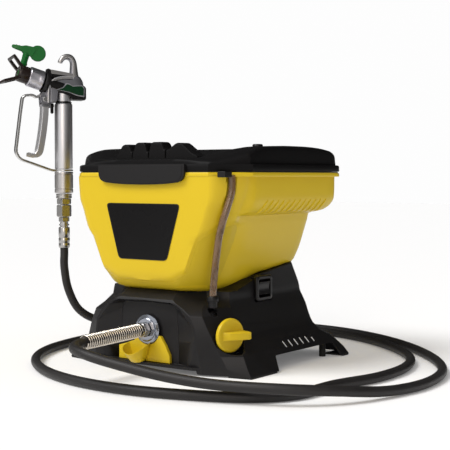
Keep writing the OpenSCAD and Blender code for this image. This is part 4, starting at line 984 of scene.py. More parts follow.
def make_outlet(_sizes):
    # Polished disc behind the hose nut, with a raised hub and a fine step; its chrome is darkened
    # in colour as a painted dark reflection
    at = move(0, -132.3, OUTLET_Z) @ ALONG_MINUS_Y
    disc = Shape().turned([(11.1, -3.9), (20, -3.9), (20.8, -3.2), (21, -2.2), (21, -0.9),
                           (20.5, -0.2), (19.2, 0.1), (17, 0.2), (16.2, 0.6), (16, 2.2),
                           (15.2, 2.9), (12, 3), (6, 3), (6, 10.8), (3.2, 10.8), (3, 3), (3, -1.9),
                           (11.1, -2)], 0, at, 72, (False, False))
    disc.piece("outlet_ring", "machine", ["dark_chrome"], "chrome", ["outlet_disc"], crease=30)

    # Yellow cover plate around the outlet, and the drip scoop with its open lip
    plate = front_prism([(-52, 12.3), (-52, 31), (-34, 36), (-24, 39), (-20, 47), (8, 60), (11, 52),
                         (24, 48), (32, 36.5), (39.5, 23), (40, 12.3)], -131.3, -126.3)
    hole = bore(21.6, -10, 20, move(0, -130, OUTLET_Z) @ ALONG_MINUS_Y, 64)
    mesh = carved(plate, [hole], "outlet_cover")
    dressed(mesh, "outlet_cover", "machine", ["yellow_shell"], ["pump_cover"], 0.7,
            35, 2)
    scoop = Shape()
    tilt = move(-15, -131.5, 13.2) @ turn(20, "X")

    def scoop_ring(r, h, wave):
        ring = []
        for k in range(56):
            a = 2 * math.pi * k / 56
            front = max(0.0, -math.sin(a))
            flare = 1 + 0.13 * wave * max(0.0, math.cos(a)) ** 2
            ring.append(Vector((r * math.cos(a) * flare, r * math.sin(a) * 0.9,
                                h - wave * 4.5 * front ** 2
                                + wave * 3.0 * max(0.0, math.cos(a)) ** 2)))
        return ring
    scoop.rings([scoop_ring(*row) for row in ((11.5, 0, 0), (13.2, 1.2, 0), (16.4, 9, 0.3),
                                              (19.2, 17, 0.8), (20.8, 21.4, 1), (20.4, 22, 1),
                                              (19.4, 21.6, 1), (17.2, 16, 0.8), (13.6, 8, 0.3),
                                              (10, 3.4, 0))], 0, tilt)
    for p in scoop.points:
        p.y = min(p.y, -126.6)
    scoop.piece("drip_scoop", "machine", ["yellow_shell"], "yellow_shell", crease=40)


def make_controls(sizes):
    # Knob: a dished disc with a tapered lever across it
    r = sizes.knob_diameter / 2 / MM
    knob = Shape().turned([(4.9, 0.3), (r - 1.2, 0.3), (r - 0.2, 1), (r, 2), (r, 4.6),
                           (r - 0.5, 6.1), (r - 1.7, 6.9), (r - 3.4, 7), (r - 5, 6.5), (4, 6.6)],
                          0, AT_KNOB, 64, (False, True))
    lever = [(-16, 5), (-13.5, 8.6), (-8, 13.4), (4, 20), (14, 24.2), (18.5, 24.9), (21.4, 23.2),
             (22, 19), (21.2, 5)]
    rings = []
    for w, pull in ((-5.2, 0.955), (-4.3, 1), (4.3, 1), (5.2, 0.955)):
        rings.append([AT_KNOB @ Vector((w * (1.25 - h * 0.012), y * pull,
                                        max(5, h * (pull if h > 8 else 1)))) for y, h in lever])
    knob.rings(rings)
    knob.piece("prime_dial", "knob", ["yellow_shell"], "yellow_shell", ["prime_knob"], edge=0.8,
               crease=40, steps=3)

    # Switch: rounded bezel and a dished rocker
    x, y, z = SWITCH_AT
    at = move(x + 0.4, y, z) @ turn(90, "Z") @ ALONG_MINUS_Y

    def frame_ring(w, h, out, reach=5):
        return [at @ Vector((p.x, p.y, out))
                for p in round_outline([(-w, -h), (w, -h), (w, h), (-w, h)], reach, 5)]
    rows = [(20, 18, 0), (20, 18, 2.4), (19.4, 17.4, 3.5), (18.4, 16.4, 4), (15.4, 13.4, 4, 3),
            (14.8, 12.8, 3.6, 3), (14.2, 12.2, -5, 2.5), (16.6, 14.6, -5, 2.5),
            (16.6, 14.6, 0, 2.5)]
    bezel = Shape().rings([frame_ring(*row) for row in rows], ends=(False, False))
    bezel.piece("switch_bezel", "machine", ["black_trim"], "black_trim", ["switch_frame"], edge=0.3,
                crease=30)
    rocker, dish_radius = [], 24
    for i in range(13):
        h = mid(-9, 9, i / 12)
        dish = dish_radius - math.sqrt(dish_radius * dish_radius - h * h)
        rocker.append((dish + 1.9, h))
    profile = [(-3, -9)] + rocker + [(-3, 9)]
    cap = Shape().prism([(x + 1 + out, y + s * 13.4, z + h) for s in (-1, 1) for out, h in profile])
    cap.piece("rocker_cap", "rocker", ["black_trim"], "black_trim", ["switch_rocker"], edge=0.5,
              crease=40)

    # Return tube from the base up into the hopper's rim
    line = flowing(RETURN_ROUTE, 8)
    outer = Shape().pipe(line, 5, 24, ends=(False, False))
    inner = Shape().pipe(line, 3.5, 24, ends=(False, False))
    outer.add(inner.points, [tuple(reversed(f)) for f in inner.faces])
    outer.piece("return_hose", "machine", ["clear_tube"], "clear_tube", ["return_tube"], crease=60,
                weld=0)
    film = Shape().pipe(line[1:-1], 3.2, 16)
    film.piece("return_hose_core", "machine", ["tube_core"], "clear_tube", crease=60, weld=0)
    at = move(*TUBE_FOOT, 92)
    socket = Shape().turned([(5.2, 0.2), (6.2, 0.2), (6.3, 7.8), (7.8, 8.2), (8, 9), (8, 14.6),
                             (7.4, 15.7), (6.4, 16), (5.3, 15.8), (5.2, 15)],
                            0, at, 40, (False, False))
    socket.piece("return_hose_seat", "machine", ["black_trim"], "black_shell", ["tube_socket"],
                 crease=40)
    # Black clip that holds the tube in the rim's notch
    clip = box_shape((129.5, -142.9, 269), (142.5, -127, 277))
    clip.piece("rim_clip", "machine", ["black_trim"], "black_shell", edge=0.8, crease=40)


# ---------- gun ----------
HOOK_LINE = [(-22, 414), (-19.6, 427), (-18.1, 439), (-17.7, 449), (-17, 459), (-13.6, 465.6),
             (-8, 468.2), (-1, 467), (4, 461.6), (5.6, 457.8)]
TIP_TURN = 18
TRIGGER_LINE = [(33, 389), (33.2, 374), (35.8, 350), (39.2, 328), (43, 311), (50, 303),
                (61.5, 304.5)]


def side_outline(points, half_width, reach):
    """A rounded side-view outline as layers across the gun, drawn in at both faces."""
    outline = round_outline(points, reach)
    centre = sum(outline, Vector((0, 0))) / len(outline)
    layers = []
    for w, pull in ((-half_width, 0.9), (-half_width + 1.2, 0.965), (-half_width + 3.4, 1),
                    (half_width - 3.4, 1), (half_width - 1.2, 0.965), (half_width, 0.9)):
        layers += across([centre + (p - centre) * pull for p in outline], [w])
    return layers


def make_gun_head(_sizes):
    head = Shape()
    # Neck that closes the top of the handle
    head.turned([(11, 391.3), (13.2, 391.3), (13.6, 392), (13.4, 393.6), (12, 394.2), (9, 394.3)],
                3, AT_GUN)
    head.turned([(9, 394), (12, 394.1), (12.1, 395), (12.1, 412), (9, 413)], 2, AT_GUN)
    head.turned([(10.9, 374), (10.9, 391.4)], 2, AT_GUN, ends=(True, False))
    # Nose barrel with its thin flange, round which the casting arches; it is black, painted shade
    # for the dark gap between the casting and the nut
    head.turned([(4.1, -17.8), (10.5, -18), (12.4, -16), (13, -12), (13, 27), (17.6, 28),
                 (18.6, 28.6), (18.8, 30), (18.8, 34.6), (18.2, 35.6), (13.4, 36), (10, 36.4),
                 (10, 42), (7.1, 42), (7.1, 24), (4.1, 24)],
                3, AT_NOSE @ ALONG_X, 56, (False, False))
    # Bridge between the neck, the nose and the hook, in the darker alloy: the casting's blue-grey
    # side, and painted shade under the arch
    head.rings(side_outline([(-33, 401), (-14, 403.5), (3, 408.5), (13, 411.6), (14.6, 402),
                             (15.6, 391), (26.6, 391), (26.4, 401), (25.6, 414), (22.6, 423),
                             (16.6, 428), (4, 430.6), (-14, 431.4), (-18, 437), (-26, 436),
                             (-31, 428), (-33.5, 416)], 11.2, 3.4), 1, AT_GUN)
    # Shoulder arch that sweeps from the flange down to the badge
    arch = flowing([(27.6, 391), (27.4, 400), (26.8, 411), (24, 421.6), (17.6, 428.4), (5, 432),
                    (-6, 432.8), (-14, 433)], 4)

    def arch_section(t):
        lip, foot = mid(1.4, 2.6, t), mid(2.4, 3.6, t)
        return [(1.3, -11.6), (2.0, -10.6), (2.0, 10.6), (1.3, 11.6), (-lip, 12.6), (-foot, 12.2),
                (-foot, -12.2), (-lip, -12.6)]
    head.bar(arch, arch_section, 2, AT_GUN)
    # Horn that reaches forward from the foot of the hook, over a dark web
    horn = flowing([(-18, 438), (-11.6, 438.4), (0, 439.8), (12, 441.2), (25, 442.6)], 5)

    def horn_section(t):
        edge, crown = mid(1.8, 3.2, t), mid(2.6, 4.0, t)
        under, wide = mid(1.6, 3.2, t), mid(6.4, 5.2, t)
        return [(edge, -wide), (crown, -3), (crown, 3), (edge, wide), (-under, wide),
                (-under, -wide)]
    head.bar(horn, horn_section, 0, AT_GUN)
    head.rings(side_outline([(23.5, 432), (28.6, 436), (29, 446.4), (25.6, 448), (22.6, 446),
                             (21, 436)], 5.8, 1.6), 3, AT_GUN)
    head.rings(side_outline([(-16, 431), (5, 430.6), (16, 428), (23.6, 424), (26, 431), (24, 441.4),
                             (0, 438.4), (-16, 437)], 4.4, 1), 3, AT_GUN)
    # Hanging hook: broad at its foot, slim at the tip
    line = flowing(HOOK_LINE, 6)
    n, around = len(line) - 1, 20
    rings = []
    for i, p in enumerate(line):
        d = (line[min(i + 1, n)] - line[max(i - 1, 0)]).normalized()
        out, t = Vector((-d.y, d.x)), i / n
        slim, wide = mid(5.0, 3.5, smooth_step(0.6, 1, t)), mid(7.0, 5.0, t)
        deep = mid(8.2, slim, smooth_step(0.05, 0.5, t))
        ring = []
        for k in range(around):
            a = 2 * math.pi * k / around
            c, s = math.cos(a), math.sin(a)
            c, s = math.copysign(abs(c) ** 0.7, c), math.copysign(abs(s) ** 0.7, s)
            ring.append(Vector((p.x + out.x * deep * c, wide * s, p.y + out.y * deep * c)))
        rings.append(ring)
    head.rings(rings, 0, AT_GUN)
    # The faces that look forward get the darker alloy
    first = len(head.finishes) - (around * n + 2)
    for k in range(around * n):
        if 6 <= k % around <= 10:
            head.finishes[first + k] = 1
    # Lugs that carry the trigger, and the ear of the trigger lock
    for low, high in ((-6.6, -2.4), (2.4, 6.6)):
        lug = round_outline([(15, 391), (37, 391), (40.6, 396), (40, 405), (33, 413), (15, 413)], 3,
                            4)
        head.rings(across(lug, (low, high)), 1, AT_GUN)
    head.rings(across([(22.5, 383), (25.5, 383), (25.5, 393), (22.5, 393)], (-4, 4)), 1, AT_GUN)
    head.piece("gun_casting", "gun", ["alloy", "dark_alloy", "satin_tube", "black_trim"],
               "alloy", ["gun_body"], edge=0.35, crease=38, weld=0.01)

    # Badge on each side: a bare dark green field in a pale frame, with a black pad round its rear
    rim, field = Shape(), Shape()
    outline = round_outline([(15, 413), (5, 416.6), (-1.6, 424.6), (-7, 423), (-12.5, 419.8),
                             (-19.5, 420.8), (-29, 421.4), (-32.6, 416), (-32, 401.6),
                             (-19.5, 403.4), (-6, 408.6), (3, 410.4)], 1.2, 3)
    heart = Vector((-14, 413))
    for s in (1, -1):
        rim.rings(across(outline, (s * 11, s * 13.2)), 0, AT_GUN)
        inset = [Vector((heart.x + (p.x - heart.x) * 0.93, heart.y + (p.y - heart.y) * 0.8))
                 for p in outline]
        field.rings(across(inset, (s * 12.8, s * 13.8)), 0, AT_GUN)
    rim.piece("badge_rim", "gun", ["nut_alloy"], "alloy", edge=0.25)
    field.piece("badge_field", "gun", ["dark_green"], "green_plastic", ["gun_badges"], edge=0.2)
    pad = Shape()
    pad.rings(side_outline([(-36.5, 417), (-36.5, 399), (-34, 396.5), (-14, 396.5), (-9, 402),
                            (3, 406), (14, 409.5), (15, 412), (-28, 412), (-33, 421)],
                           12.4, 1.6), 0, AT_GUN)
    pad.piece("badge_pad", "gun", ["black_trim"], "black_trim", crease=45)


def make_handle(sizes):
    r = sizes.handle_diameter / 2 / MM
    tube = Shape().turned([(11, 282.3), (r - 0.9, 282.3), (r - 0.2, 282.9), (r, 284), (r, 388.6),
                           (r - 0.5, 390), (r - 1.6, 390.8), (11, 391)],
                          0, AT_GUN, 72, (False, False))
    tube.piece("handle_tube", "gun", ["satin_tube"], "chrome", ["gun_handle"], crease=40)
    collar = Shape()
    collar.turned([(11, 242.3), (14.2, 242.3), (15, 243.2), (15.2, 244.4), (15.2, 249),
                   (14.6, 249.6), (14.6, 250.6), (15.2, 251.2), (15.2, 272.8), (14.6, 273.4),
                   (14.6, 274.4), (15.2, 275), (15.2, 277), (14.4, 278.2), (11, 278.3)],
                  0, AT_GUN, 64)
    collar.piece("handle_foot", "gun", ["alloy"], "alloy", ["handle_collar"], crease=35)
    inlet = Shape()
    inlet.turned([(6, 206), (6, 224)], 0, AT_GUN, 32)
    inlet.flats(21.4, 224, 233.8, 1.4, at=AT_GUN)
    inlet.turned([(9, 233.8), (12.6, 234), (13, 234.6), (13, 237.2), (12.4, 237.6), (12.4, 238.4),
                  (13, 238.8), (13, 240.8), (12.4, 241.6), (9, 241.7)], 0, AT_GUN, 56)
    inlet.piece("inlet_union", "gun", ["steel"], "steel", ["gun_inlet"], edge=0.25)


def make_trigger(_sizes):
    def channel(t):
        """Open toward the handle; two light ridges run down the front."""
        wide = mid(9.0, 8.6, smooth_step(0.7, 1, t))
        back = mid(-5.4, -1.2, smooth_step(0.66, 0.9, t))
        return [(back, -wide), (4.2, -wide), (5.2, -wide + 1.1), (5.2, -5.6), (4.5, -4.8),
                (4.5, -2.6), (5.3, -1.6), (5.3, 1.6), (4.5, 2.6), (4.5, 4.8), (5.2, 5.6),
                (5.2, wide - 1.1), (4.2, wide), (back, wide), (back, wide - 1.6), (3.4, wide - 2),
                (3.4, -wide + 2), (back, -wide + 1.6)]
    lever = Shape().bar(flowing(TRIGGER_LINE, 6), channel, 0, AT_GUN)
    for s in (1, -1):
        cheek = round_outline([(27.6, 384), (38.6, 384), (39.6, 397), (37, 402.4), (33, 403.6),
                               (29, 402.4), (26.4, 397)], 3, 4)
        lever.rings(across(cheek, (s * 7.4, s * 9)), 1, AT_GUN)
    lever.piece("trigger_lever", "trigger", ["satin_tube", "dark_alloy"], "alloy", ["trigger"],
                edge=0.3, crease=30, weld=0)
    pin = Shape()
    pivot = AT_GUN @ move(TRIGGER_PIVOT[0], 0, TRIGGER_PIVOT[1]) @ ALONG_MINUS_Y
    pin.turned([(2.5, -10.6), (2.5, 10.6)], 0, pivot, 24)
    for s in (1, -1):
        pin.turned([(0.1, s * 10.9), (3.6, s * 10.9), (4.4, s * 10.2), (4.4, s * 9.3),
                    (2.5, s * 9.3)], 0, pivot, 32)
    pin.piece("trigger_pivot", "gun", ["steel"], "steel", ["trigger_pin"], crease=40)

    # Finger guard: a flat strip, wavy along the top, screwed under the handle
    run = flowing([(31, 401.5), (38, 403.6), (46, 400.4), (53, 403.2), (58.5, 403.2), (64.5, 402.2),
                   (69, 398.4)], 5)
    run += softened([(69.8, 395.4), (73, 374), (81.2, 310), (74, 298.5), (21, 280.4), (13, 280.3)],
                    9, 6)
    guard = Shape().bar(run, [(-2.0, -4.4), (-1.2, -5.2), (1.2, -5.2), (2.0, -4.4), (2.0, 4.4),
                              (1.2, 5.2), (-1.2, 5.2), (-2.0, 4.4)], 0, AT_GUN)
    guard.turned([(11, 279), (14.8, 279), (15.2, 279.4), (15.2, 281.4), (14.8, 281.8), (11, 281.8)],
                 0, AT_GUN, 56)
    guard.piece("finger_guard", "gun", ["guard_alloy"], "alloy", ["trigger_guard"], crease=38,
                weld=0)
    catch = Shape()
    catch.rings(side_outline([(17.4, 373.8), (21.8, 373.8), (22, 386), (17.2, 386)], 2.6, 1.6), 0,
                AT_GUN)
    catch.turned([(0.1, 17), (3.4, 17), (3.6, 17.6), (3.6, 21.6), (1.5, 22), (1.5, 25.2)], 0,
                 AT_GUN @ move(0, 0, 387) @ ALONG_X, 32)
    catch.piece("lock_lever", "lock", ["black_trim"], "black_trim", ["trigger_lock"], edge=0.3)


def make_nose(_sizes):
    along = AT_NOSE @ ALONG_X
    nut = Shape()
    rings = []
    for n, r, bite in ((37.4, 14.6, 0), (37.8, 15.8, 0), (39, 16.5, 0), (43.8, 16.5, 0),
                       (45, 16.5, 0.5), (47, 16.5, 1), (59.4, 16.5, 1), (60.6, 16.4, 0.7),
                       (61.6, 15.6, 0.2), (62, 14.6, 0), (62, 10.2, 0)):
        ring = []
        for k in range(72):
            a = 2 * math.pi * k / 72
            fold = (a % (math.pi / 3)) - math.pi / 6
            flat = max(0.0, 1 - (abs(fold) / 0.36) ** 2)
            reach = r - 1.15 * bite * flat
            ring.append(along @ Vector((reach * math.cos(a), reach * math.sin(a), n)))
        rings.append(ring)
    nut.rings(rings, ends=(False, False))
    nut.piece("nose_nut", "gun", ["nut_alloy"], "alloy", ["retaining_nut"], crease=28)

    # Tip guard: a turned body and two open wings
    guard = Shape()
    guard.turned([(3.6, 60), (3.6, 76.6), (6, 79.6), (9.6, 81), (12.4, 80), (13.6, 78), (14, 75.6),
                  (14, 64), (13.4, 62.6), (10, 62.5), (10, 44.2), (8.3, 44)],
                 0, along, 64, (False, False))
    def slab(x, half, thick):
        return [Vector((x, half * a, thick * b))
                for a, b in ((-1, -0.7), (-0.95, -1), (0.95, -1), (1, -0.7), (1, 0.7), (0.95, 1),
                             (-0.95, 1), (-1, 0.7))]
    for rise, tilt, length, roll in ((4.4, -37.6, 28.5, 6), (-7, 32, 31, 3)):
        at = (AT_NOSE @ turn(roll, "X") @ move(TIP_X, 0, rise)
              @ turn(tilt, "Y"))
        guard.rings([slab(-4, 9.5, 3.4), slab(0, 11, 3.2), slab(3, 13.4, 2.8), slab(6, 15.6, 2.6)],
                    0, at)
        for s in (1, -1):
            guard.rings([[Vector((x, s * w + a * 2.5, t * b))
                          for a, b in ((-1, -1), (1, -1), (1, 1), (-1, 1))]
                         for x, w, t in ((5.6, 13.2, 2.5), (length * 0.6, 14.6, 2.4),
                                         (length - 3, 14.6, 2.3))], 0, at)
        guard.rings([slab(length - 5, 17.1, 2.4), slab(length - 1.2, 17, 2.4),
                     slab(length, 15.8, 1.8)], 0, at)
    guard.piece("spray_guard", "guard", ["brown_black"], "black_trim", ["tip_guard"], edge=0.35,
                crease=38, weld=0.01)

    # Reversible spray tip: stem, hub, pointer and the faceted grip disc
    tip = Shape()
    stem = AT_NOSE @ move(TIP_X, 0) @ turn(-TIP_TURN, "Z")
    key = stem @ move(-TIP_X, 0)
    tip.turned([(4.2, -10), (5, -9), (5, 14.6), (6.2, 15.2), (6.2, 17.6), (5.4, 18.4), (5.2, 24),
                (5.6, 31), (5.9, 34)], 0, stem, 40)
    hub = round_outline([(-8, 31), (3, 33), (10, 34), (12, 43.6), (6, 46.4), (-6, 47.4), (-12, 46)],
                        1.6, 3)
    tip.rings(across([(TIP_X - 2 + p.x, p.y) for p in hub], (-4.2, 4.2)), 0, key)
    pointer = [(80, 34.8, 44.6, 3.8), (87, 35.6, 43.6, 3.6), (94, 36.2, 43.2, 3.4),
               (99, 37, 42.4, 3.0), (100.8, 38, 41.4, 2.4)]
    tip.rings([[Vector((x, a * w, b)) for a, b in ((-1, mid(lo, hi, 0.15)), (-0.7, lo), (0.7, lo),
                                                   (1, mid(lo, hi, 0.15)), (1, mid(lo, hi, 0.85)),
                                                   (0.7, hi), (-0.7, hi), (-1, mid(lo, hi, 0.85)))]
               for x, lo, hi, w in pointer], 0, key)
    for x in (84, 89, 94):
        fall = (x - 84) * 0.1
        ridge = [(x - 0.7, 42), (x + 0.7, 42), (x + 0.5, 44.8 - fall), (x - 0.5, 44.9 - fall)]
        tip.rings(across(ridge, (-2.3, 2.3)), 0, key)
    grip = key @ move(57.6, 0, 39.4) @ ALONG_MINUS_Y
    rings = []
    for h, r, cut in ((-3.4, 12.2, 0), (-2.6, 13.1, 0.35), (2.6, 13.1, 0.35), (3.4, 12.2, 0),
                      (3.4, 9.6, 0), (2.2, 9, 0)):
        ring = []
        for k in range(60):
            a = 2 * math.pi * k / 60
            fold = (a % (2 * math.pi / 12)) - math.pi / 12
            reach = r / mid(1, math.cos(fold), cut) * 0.985
            ring.append(grip @ Vector((reach * math.cos(a), reach * math.sin(a), h)))
        rings.append(ring)
    tip.rings(rings)
    tip.piece("tip_key", "tip", ["green_plastic"], "green_plastic", ["spray_tip"], edge=0.3,
              crease=34, weld=0.01)


# ---------- hidden and plain CAD pieces ----------
PLAIN = {
    "base_floor": "black_shell", "outlet_panel": "black_shell", "rubber_feet": "rubber",
    "pin_feet": "rubber",
    "housing_screws": "steel", "motor_can": "steel", "motor_rotor": "copper",
    "gearbox_case": "alloy",
    "gearbox_cover": "alloy", "drive_gear": "bronze", "piston": "chrome", "pump_block": "alloy",
    "inlet_valve": "steel", "outlet_valve": "steel", "control_board": "board",
    "mains_gland": "rubber",
    "tank_seal": "rubber", "inlet_strainer": "steel", "lid_seal": "rubber", "prime_valve": "steel",
    "gun_filter": "filter_mesh", "needle": "chrome", "seat_housing": "steel", "tip_seal": "rubber",
}


def paint_plain_pieces(_sizes):
    for node, finish in PLAIN.items():
        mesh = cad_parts[node].data
        mesh.materials.clear()
        mesh.materials.append(FINISH[finish])


# ---------- stage ----------
# Camera in metres and degrees, and how far out the cards stand
CAMERA_AT, CAMERA_HEADING, CAMERA_TILT = (0.9961, -1.3298, 0.270), 35.73, 2.477
CARD_REACH = 2.6


def make_stage(sizes):
    scene = bpy.context.scene
    floor = Finish("studio_floor", (0.97, 0.97, 0.97), 0.9, specular_ior_level=0.0)
    path = floor.tree.nodes.new("ShaderNodeLightPath")
    seen = Value(floor, path.outputs["Is Camera Ray"]) + Value(floor, path.outputs["Is Glossy Ray"])
    seen = seen + Value(floor, path.outputs["Is Transmission Ray"])
    glow = floor.tree.nodes.new("ShaderNodeEmission")
    glow.inputs["Color"].default_value = (1, 1, 1, 1)
    both = floor.tree.nodes.new("ShaderNodeMixShader")
    floor.feed({0: seen * sizes.floor_glow}, both)
    floor.tree.links.new(floor.shader.outputs[0], both.inputs[1])
    floor.tree.links.new(glow.outputs[0], both.inputs[2])
    floor.tree.links.new(both.outputs[0], floor.out.inputs["Surface"])
    # Cards that only polished surfaces mirror: dark behind and overhead, grey at both sides
    def card(name, shade, points, faces):
        finish = Finish(name, (0.01, 0.01, 0.01), 1, emission_color=(shade, shade, shade * 0.97, 1),
                        emission_strength=1)
        sheet = bpy.data.meshes.new(name)
        sheet.from_pydata(points, [], faces)
        sheet.materials.append(finish.material)
        made = linked(name, sheet)
        for ray in ("camera", "diffuse", "shadow", "transmission"):
            setattr(made, "visible_" + ray, False)

    def wall(name, shade, start, end):
        """An upright card round the sprayer between two headings in degrees."""
        turns = [math.radians(start + (end - start) * i / 16) for i in range(17)]
        points = [(CARD_REACH * math.cos(a), CARD_REACH * math.sin(a), z) for a in turns
                  for z in (0.0, CARD_REACH)]
        card(name, shade, points, [(2 * i, 2 * i + 2, 2 * i + 3, 2 * i + 1) for i in range(16)])
    for name, shade, start, end in (("soft_wall", 0.2, -40, 8), ("dark_wall", 0.02, 8, 176),
                                    ("grey_wall", 0.3, 176, 234)):
        wall(name, shade, start, end)
    r = CARD_REACH
    card("dark_ceiling", 0.03, [(-r, -0.6, r), (r, -0.6, r), (r, r, r), (-r, r, r)], [(0, 1, 2, 3)])

    mesh = bpy.data.meshes.new("studio_floor")
    work = bmesh.new()
    bmesh.ops.create_grid(work, x_segments=4, y_segments=4, size=9)
    work.to_mesh(mesh)
    work.free()
    mesh.materials.append(floor.material)
    ground = linked("studio_floor", mesh)

    world = bpy.data.worlds.new("studio_air")
    world.use_nodes = True
    scene.world = world
    nodes, links = world.node_tree.nodes, world.node_tree.links
    nodes.clear()
    kinds = ("OutputWorld", "LightPath", "Background", "Background", "MixShader", "Math", "Math")
    out, path, air, white, mix, add1, add2 = [nodes.new("ShaderNode" + kind) for kind in kinds]
    for node, shade, strength in ((air, (1, 0.99, 0.98, 1), sizes.air_light),
                                  (white, (0.985, 0.985, 0.985, 1), 1.0)):
        node.inputs["Color"].default_value, node.inputs["Strength"].default_value = shade, strength
    for source, target in ((path.outputs["Is Camera Ray"], add1.inputs[0]),
                           (path.outputs["Is Glossy Ray"], add1.inputs[1]),
                           (add1.outputs[0], add2.inputs[0]),
                           (path.outputs["Is Transmission Ray"], add2.inputs[1]),
                           (add2.outputs[0], mix.inputs[0]), (air.outputs[0], mix.inputs[1]),
                           (white.outputs[0], mix.inputs[2]),
                           (mix.outputs[0], out.inputs["Surface"])):
        links.new(source, target)

    def lamp(name, kind, place, target, power, size, shade=(1, 1, 1)):
        light = bpy.data.lights.new(name, kind)
        light.energy, light.color = power, shade
        if kind == "SUN":
            light.angle = math.radians(size)
        else:
            light.shape, light.size, light.size_y = "RECTANGLE", size[0], size[1]
        made = linked(name, light)
        made.location = place
        made.rotation_euler = (Vector(target) - Vector(place)).to_track_quat("-Z", "Y").to_euler()
    lamp("key_light", "SUN", (-1.4, -2.1, 3.2), (0, 0, 0.2), sizes.key_light, 30)
    lamp("front_strip", "AREA", (0.9, -2.2, 1.2), (0.1, -0.1, 0.2), 12, (0.5, 1.6), (1, 0.84, 0.7))

    camera = bpy.data.cameras.new("camera")
    camera.sensor_width, camera.lens = 36, sizes.lens
    camera.clip_end = 50
    made = linked("camera", camera)
    heading, tilt = math.radians(CAMERA_HEADING), math.radians(CAMERA_TILT)
    forward = Vector((-math.sin(heading) * math.cos(tilt), math.cos(heading) * math.cos(tilt),
                      -math.sin(tilt)))
    right = Vector((math.cos(heading), math.sin(heading), 0))
    up = right.cross(forward)
    matrix = Matrix.Identity(4)
    for i, axis in enumerate((right, up, -forward)):
        matrix.col[i].xyz = axis
    matrix.translation = CAMERA_AT
    made.matrix_world = matrix
    scene.camera = made
    scene.view_settings.view_transform = "Standard"


# ---------- the add-on ----------
def length(name, description, millimetres):
    return FloatProperty(name=name, description=description, default=millimetres * MM, min=0.0,
                         precision=4, subtype="DISTANCE", unit="LENGTH")


def colour(name, description, default):
    return FloatVectorProperty(name=name, description=description, default=default, size=3, min=0,
                               max=1, subtype="COLOR")


class SprayerColours(bpy.types.PropertyGroup):
    yellow: colour("Yellow", "Hopper, knob and outlet cover", (0.665, 0.482, 0.016))
    black: colour("Black", "Lid and base", (0.009, 0.0085, 0.009))
    green: colour("Green", "Spray tip", (0.003, 0.125, 0.018))
    tube: colour("Return tube", "Clear tube at the front corner", (0.34, 0.19, 0.08))


class SprayerSizes(bpy.types.PropertyGroup):
    hose_diameter: length("Hose diameter", "Outer diameter of the paint hose", 13.4)
    spring_length: length("Spring length", "Length of the hose guard spring", 112)
    tank_wall: length("Hopper wall", "Wall thickness of the hopper", 3)
    label_top: length("Label top", "Width of the label plate at its top edge", 132)
    label_foot: length("Label foot", "Width of the label plate at its foot", 86)
    label_height: length("Label height", "Height of the label plate", 78)
    knob_diameter: length("Knob diameter", "Diameter of the prime and spray knob", 47)
    handle_diameter: length("Handle diameter", "Diameter of the gun's handle tube", 29.4)
    slot_count: IntProperty(name="Cooling slots",
                            description="Number of cooling slots on each side", default=6, min=4,
                            max=7)
    lens: FloatProperty(name="Lens", description="Focal length of the camera in millimetres",
                        default=89.39, min=20)
    air_light: FloatProperty(name="Air light", description="Strength of the even light all round",
                             default=0.42, min=0)
    key_light: FloatProperty(name="Key light", description="Strength of the soft key light",
                             default=2.4, min=0)
    floor_glow: FloatProperty(name="Floor glow",
                              description="How much of the floor's white is its own", default=0.12,
                              min=0, max=1)


class MakesPieces:
    """What the operators share: the finishes are made once and the sizes come from the scene."""
    bl_options = {"REGISTER"}
    work = None

    def execute(self, context):
        if not FINISH:
            FINISH.update(make_finishes(context.scene.sprayer_colours))
        for step in self.work:
            step(context.scene.sprayer_sizes)
        return {"FINISHED"}


class SPRAYER_OT_stage(MakesPieces, bpy.types.Operator):
    """Make the camera, the lights, the floor and the air round the sprayer"""
    bl_idname, bl_label = "sprayer.stage", "Stage"
    work = (make_stage,)


class SPRAYER_OT_hose(MakesPieces, bpy.types.Operator):
    """Make the paint hose, its fittings and its guard spring"""
    bl_idname, bl_label = "sprayer.hose", "Hose"
    work = (make_hose,)


class SPRAYER_OT_hopper(MakesPieces, bpy.types.Operator):
    """Make the hopper and its bare label plate"""
    bl_idname, bl_label = "sprayer.hopper", "Hopper"
    work = (make_tank,)


class SPRAYER_OT_lid(MakesPieces, bpy.types.Operator):
    """Make the lid with its lift tab and the rest for the gun"""
    bl_idname, bl_label = "sprayer.lid", "Lid"
    work = (make_lid,)


class SPRAYER_OT_base(MakesPieces, bpy.types.Operator):
    """Make the moulded base housing"""
    bl_idname, bl_label = "sprayer.base", "Base"
    work = (make_base,)


class SPRAYER_OT_outlet(MakesPieces, bpy.types.Operator):
    """Make the outlet ring, its cover and the drip scoop"""
    bl_idname, bl_label = "sprayer.outlet", "Outlet"
    work = (make_outlet,)


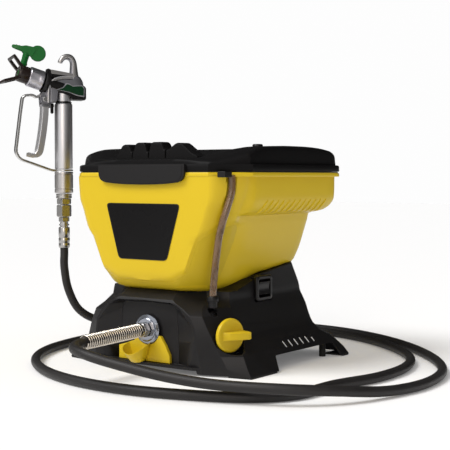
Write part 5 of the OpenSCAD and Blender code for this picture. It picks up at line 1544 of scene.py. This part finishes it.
class SPRAYER_OT_controls(MakesPieces, bpy.types.Operator):
    """Make the prime knob, the switch and the return hose"""
    bl_idname, bl_label = "sprayer.controls", "Controls"
    work = (make_controls,)


class SPRAYER_OT_gun(MakesPieces, bpy.types.Operator):
    """Make the spray gun with its handle, trigger, guards and tip"""
    bl_idname, bl_label = "sprayer.gun", "Spray gun"
    work = (make_gun_head, make_handle, make_trigger, make_nose)


class SPRAYER_OT_plain(MakesPieces, bpy.types.Operator):
    """Give the pieces that need no further shape their finishes"""
    bl_idname, bl_label = "sprayer.plain", "Plain pieces"
    work = (paint_plain_pieces,)


class SPRAYER_PT_panel(bpy.types.Panel):
    """Sizes, colours and pieces of the sprayer"""
    bl_idname, bl_label = "SPRAYER_PT_panel", "Sprayer"
    bl_space_type, bl_region_type, bl_category = "VIEW_3D", "UI", "Sprayer"

    def draw(self, context):
        for group in (context.scene.sprayer_sizes, context.scene.sprayer_colours):
            box = self.layout.box()
            for name in group.bl_rna.properties.keys():
                if name not in ("rna_type", "name"):
                    box.prop(group, name)
        for step in OPERATORS:
            self.layout.operator(step.bl_idname)


OPERATORS = (SPRAYER_OT_stage, SPRAYER_OT_hose, SPRAYER_OT_hopper, SPRAYER_OT_lid, SPRAYER_OT_base,
             SPRAYER_OT_outlet, SPRAYER_OT_controls, SPRAYER_OT_gun, SPRAYER_OT_plain)
CLASSES = (SprayerColours, SprayerSizes, *OPERATORS, SPRAYER_PT_panel)


def register():
    for kind in CLASSES:
        bpy.utils.register_class(kind)
    bpy.types.Scene.sprayer_colours = PointerProperty(type=SprayerColours)
    bpy.types.Scene.sprayer_sizes = PointerProperty(type=SprayerSizes)


def unregister():
    del bpy.types.Scene.sprayer_sizes
    del bpy.types.Scene.sprayer_colours
    for kind in reversed(CLASSES):
        bpy.utils.unregister_class(kind)


def main():
    register()
    for step in OPERATORS:
        call = getattr(bpy.ops.sprayer, step.bl_idname.split(".")[1])
        if call() != {"FINISHED"}:
            raise RuntimeError(step.bl_label + " did not finish")


if __name__ == "__main__":
    main()
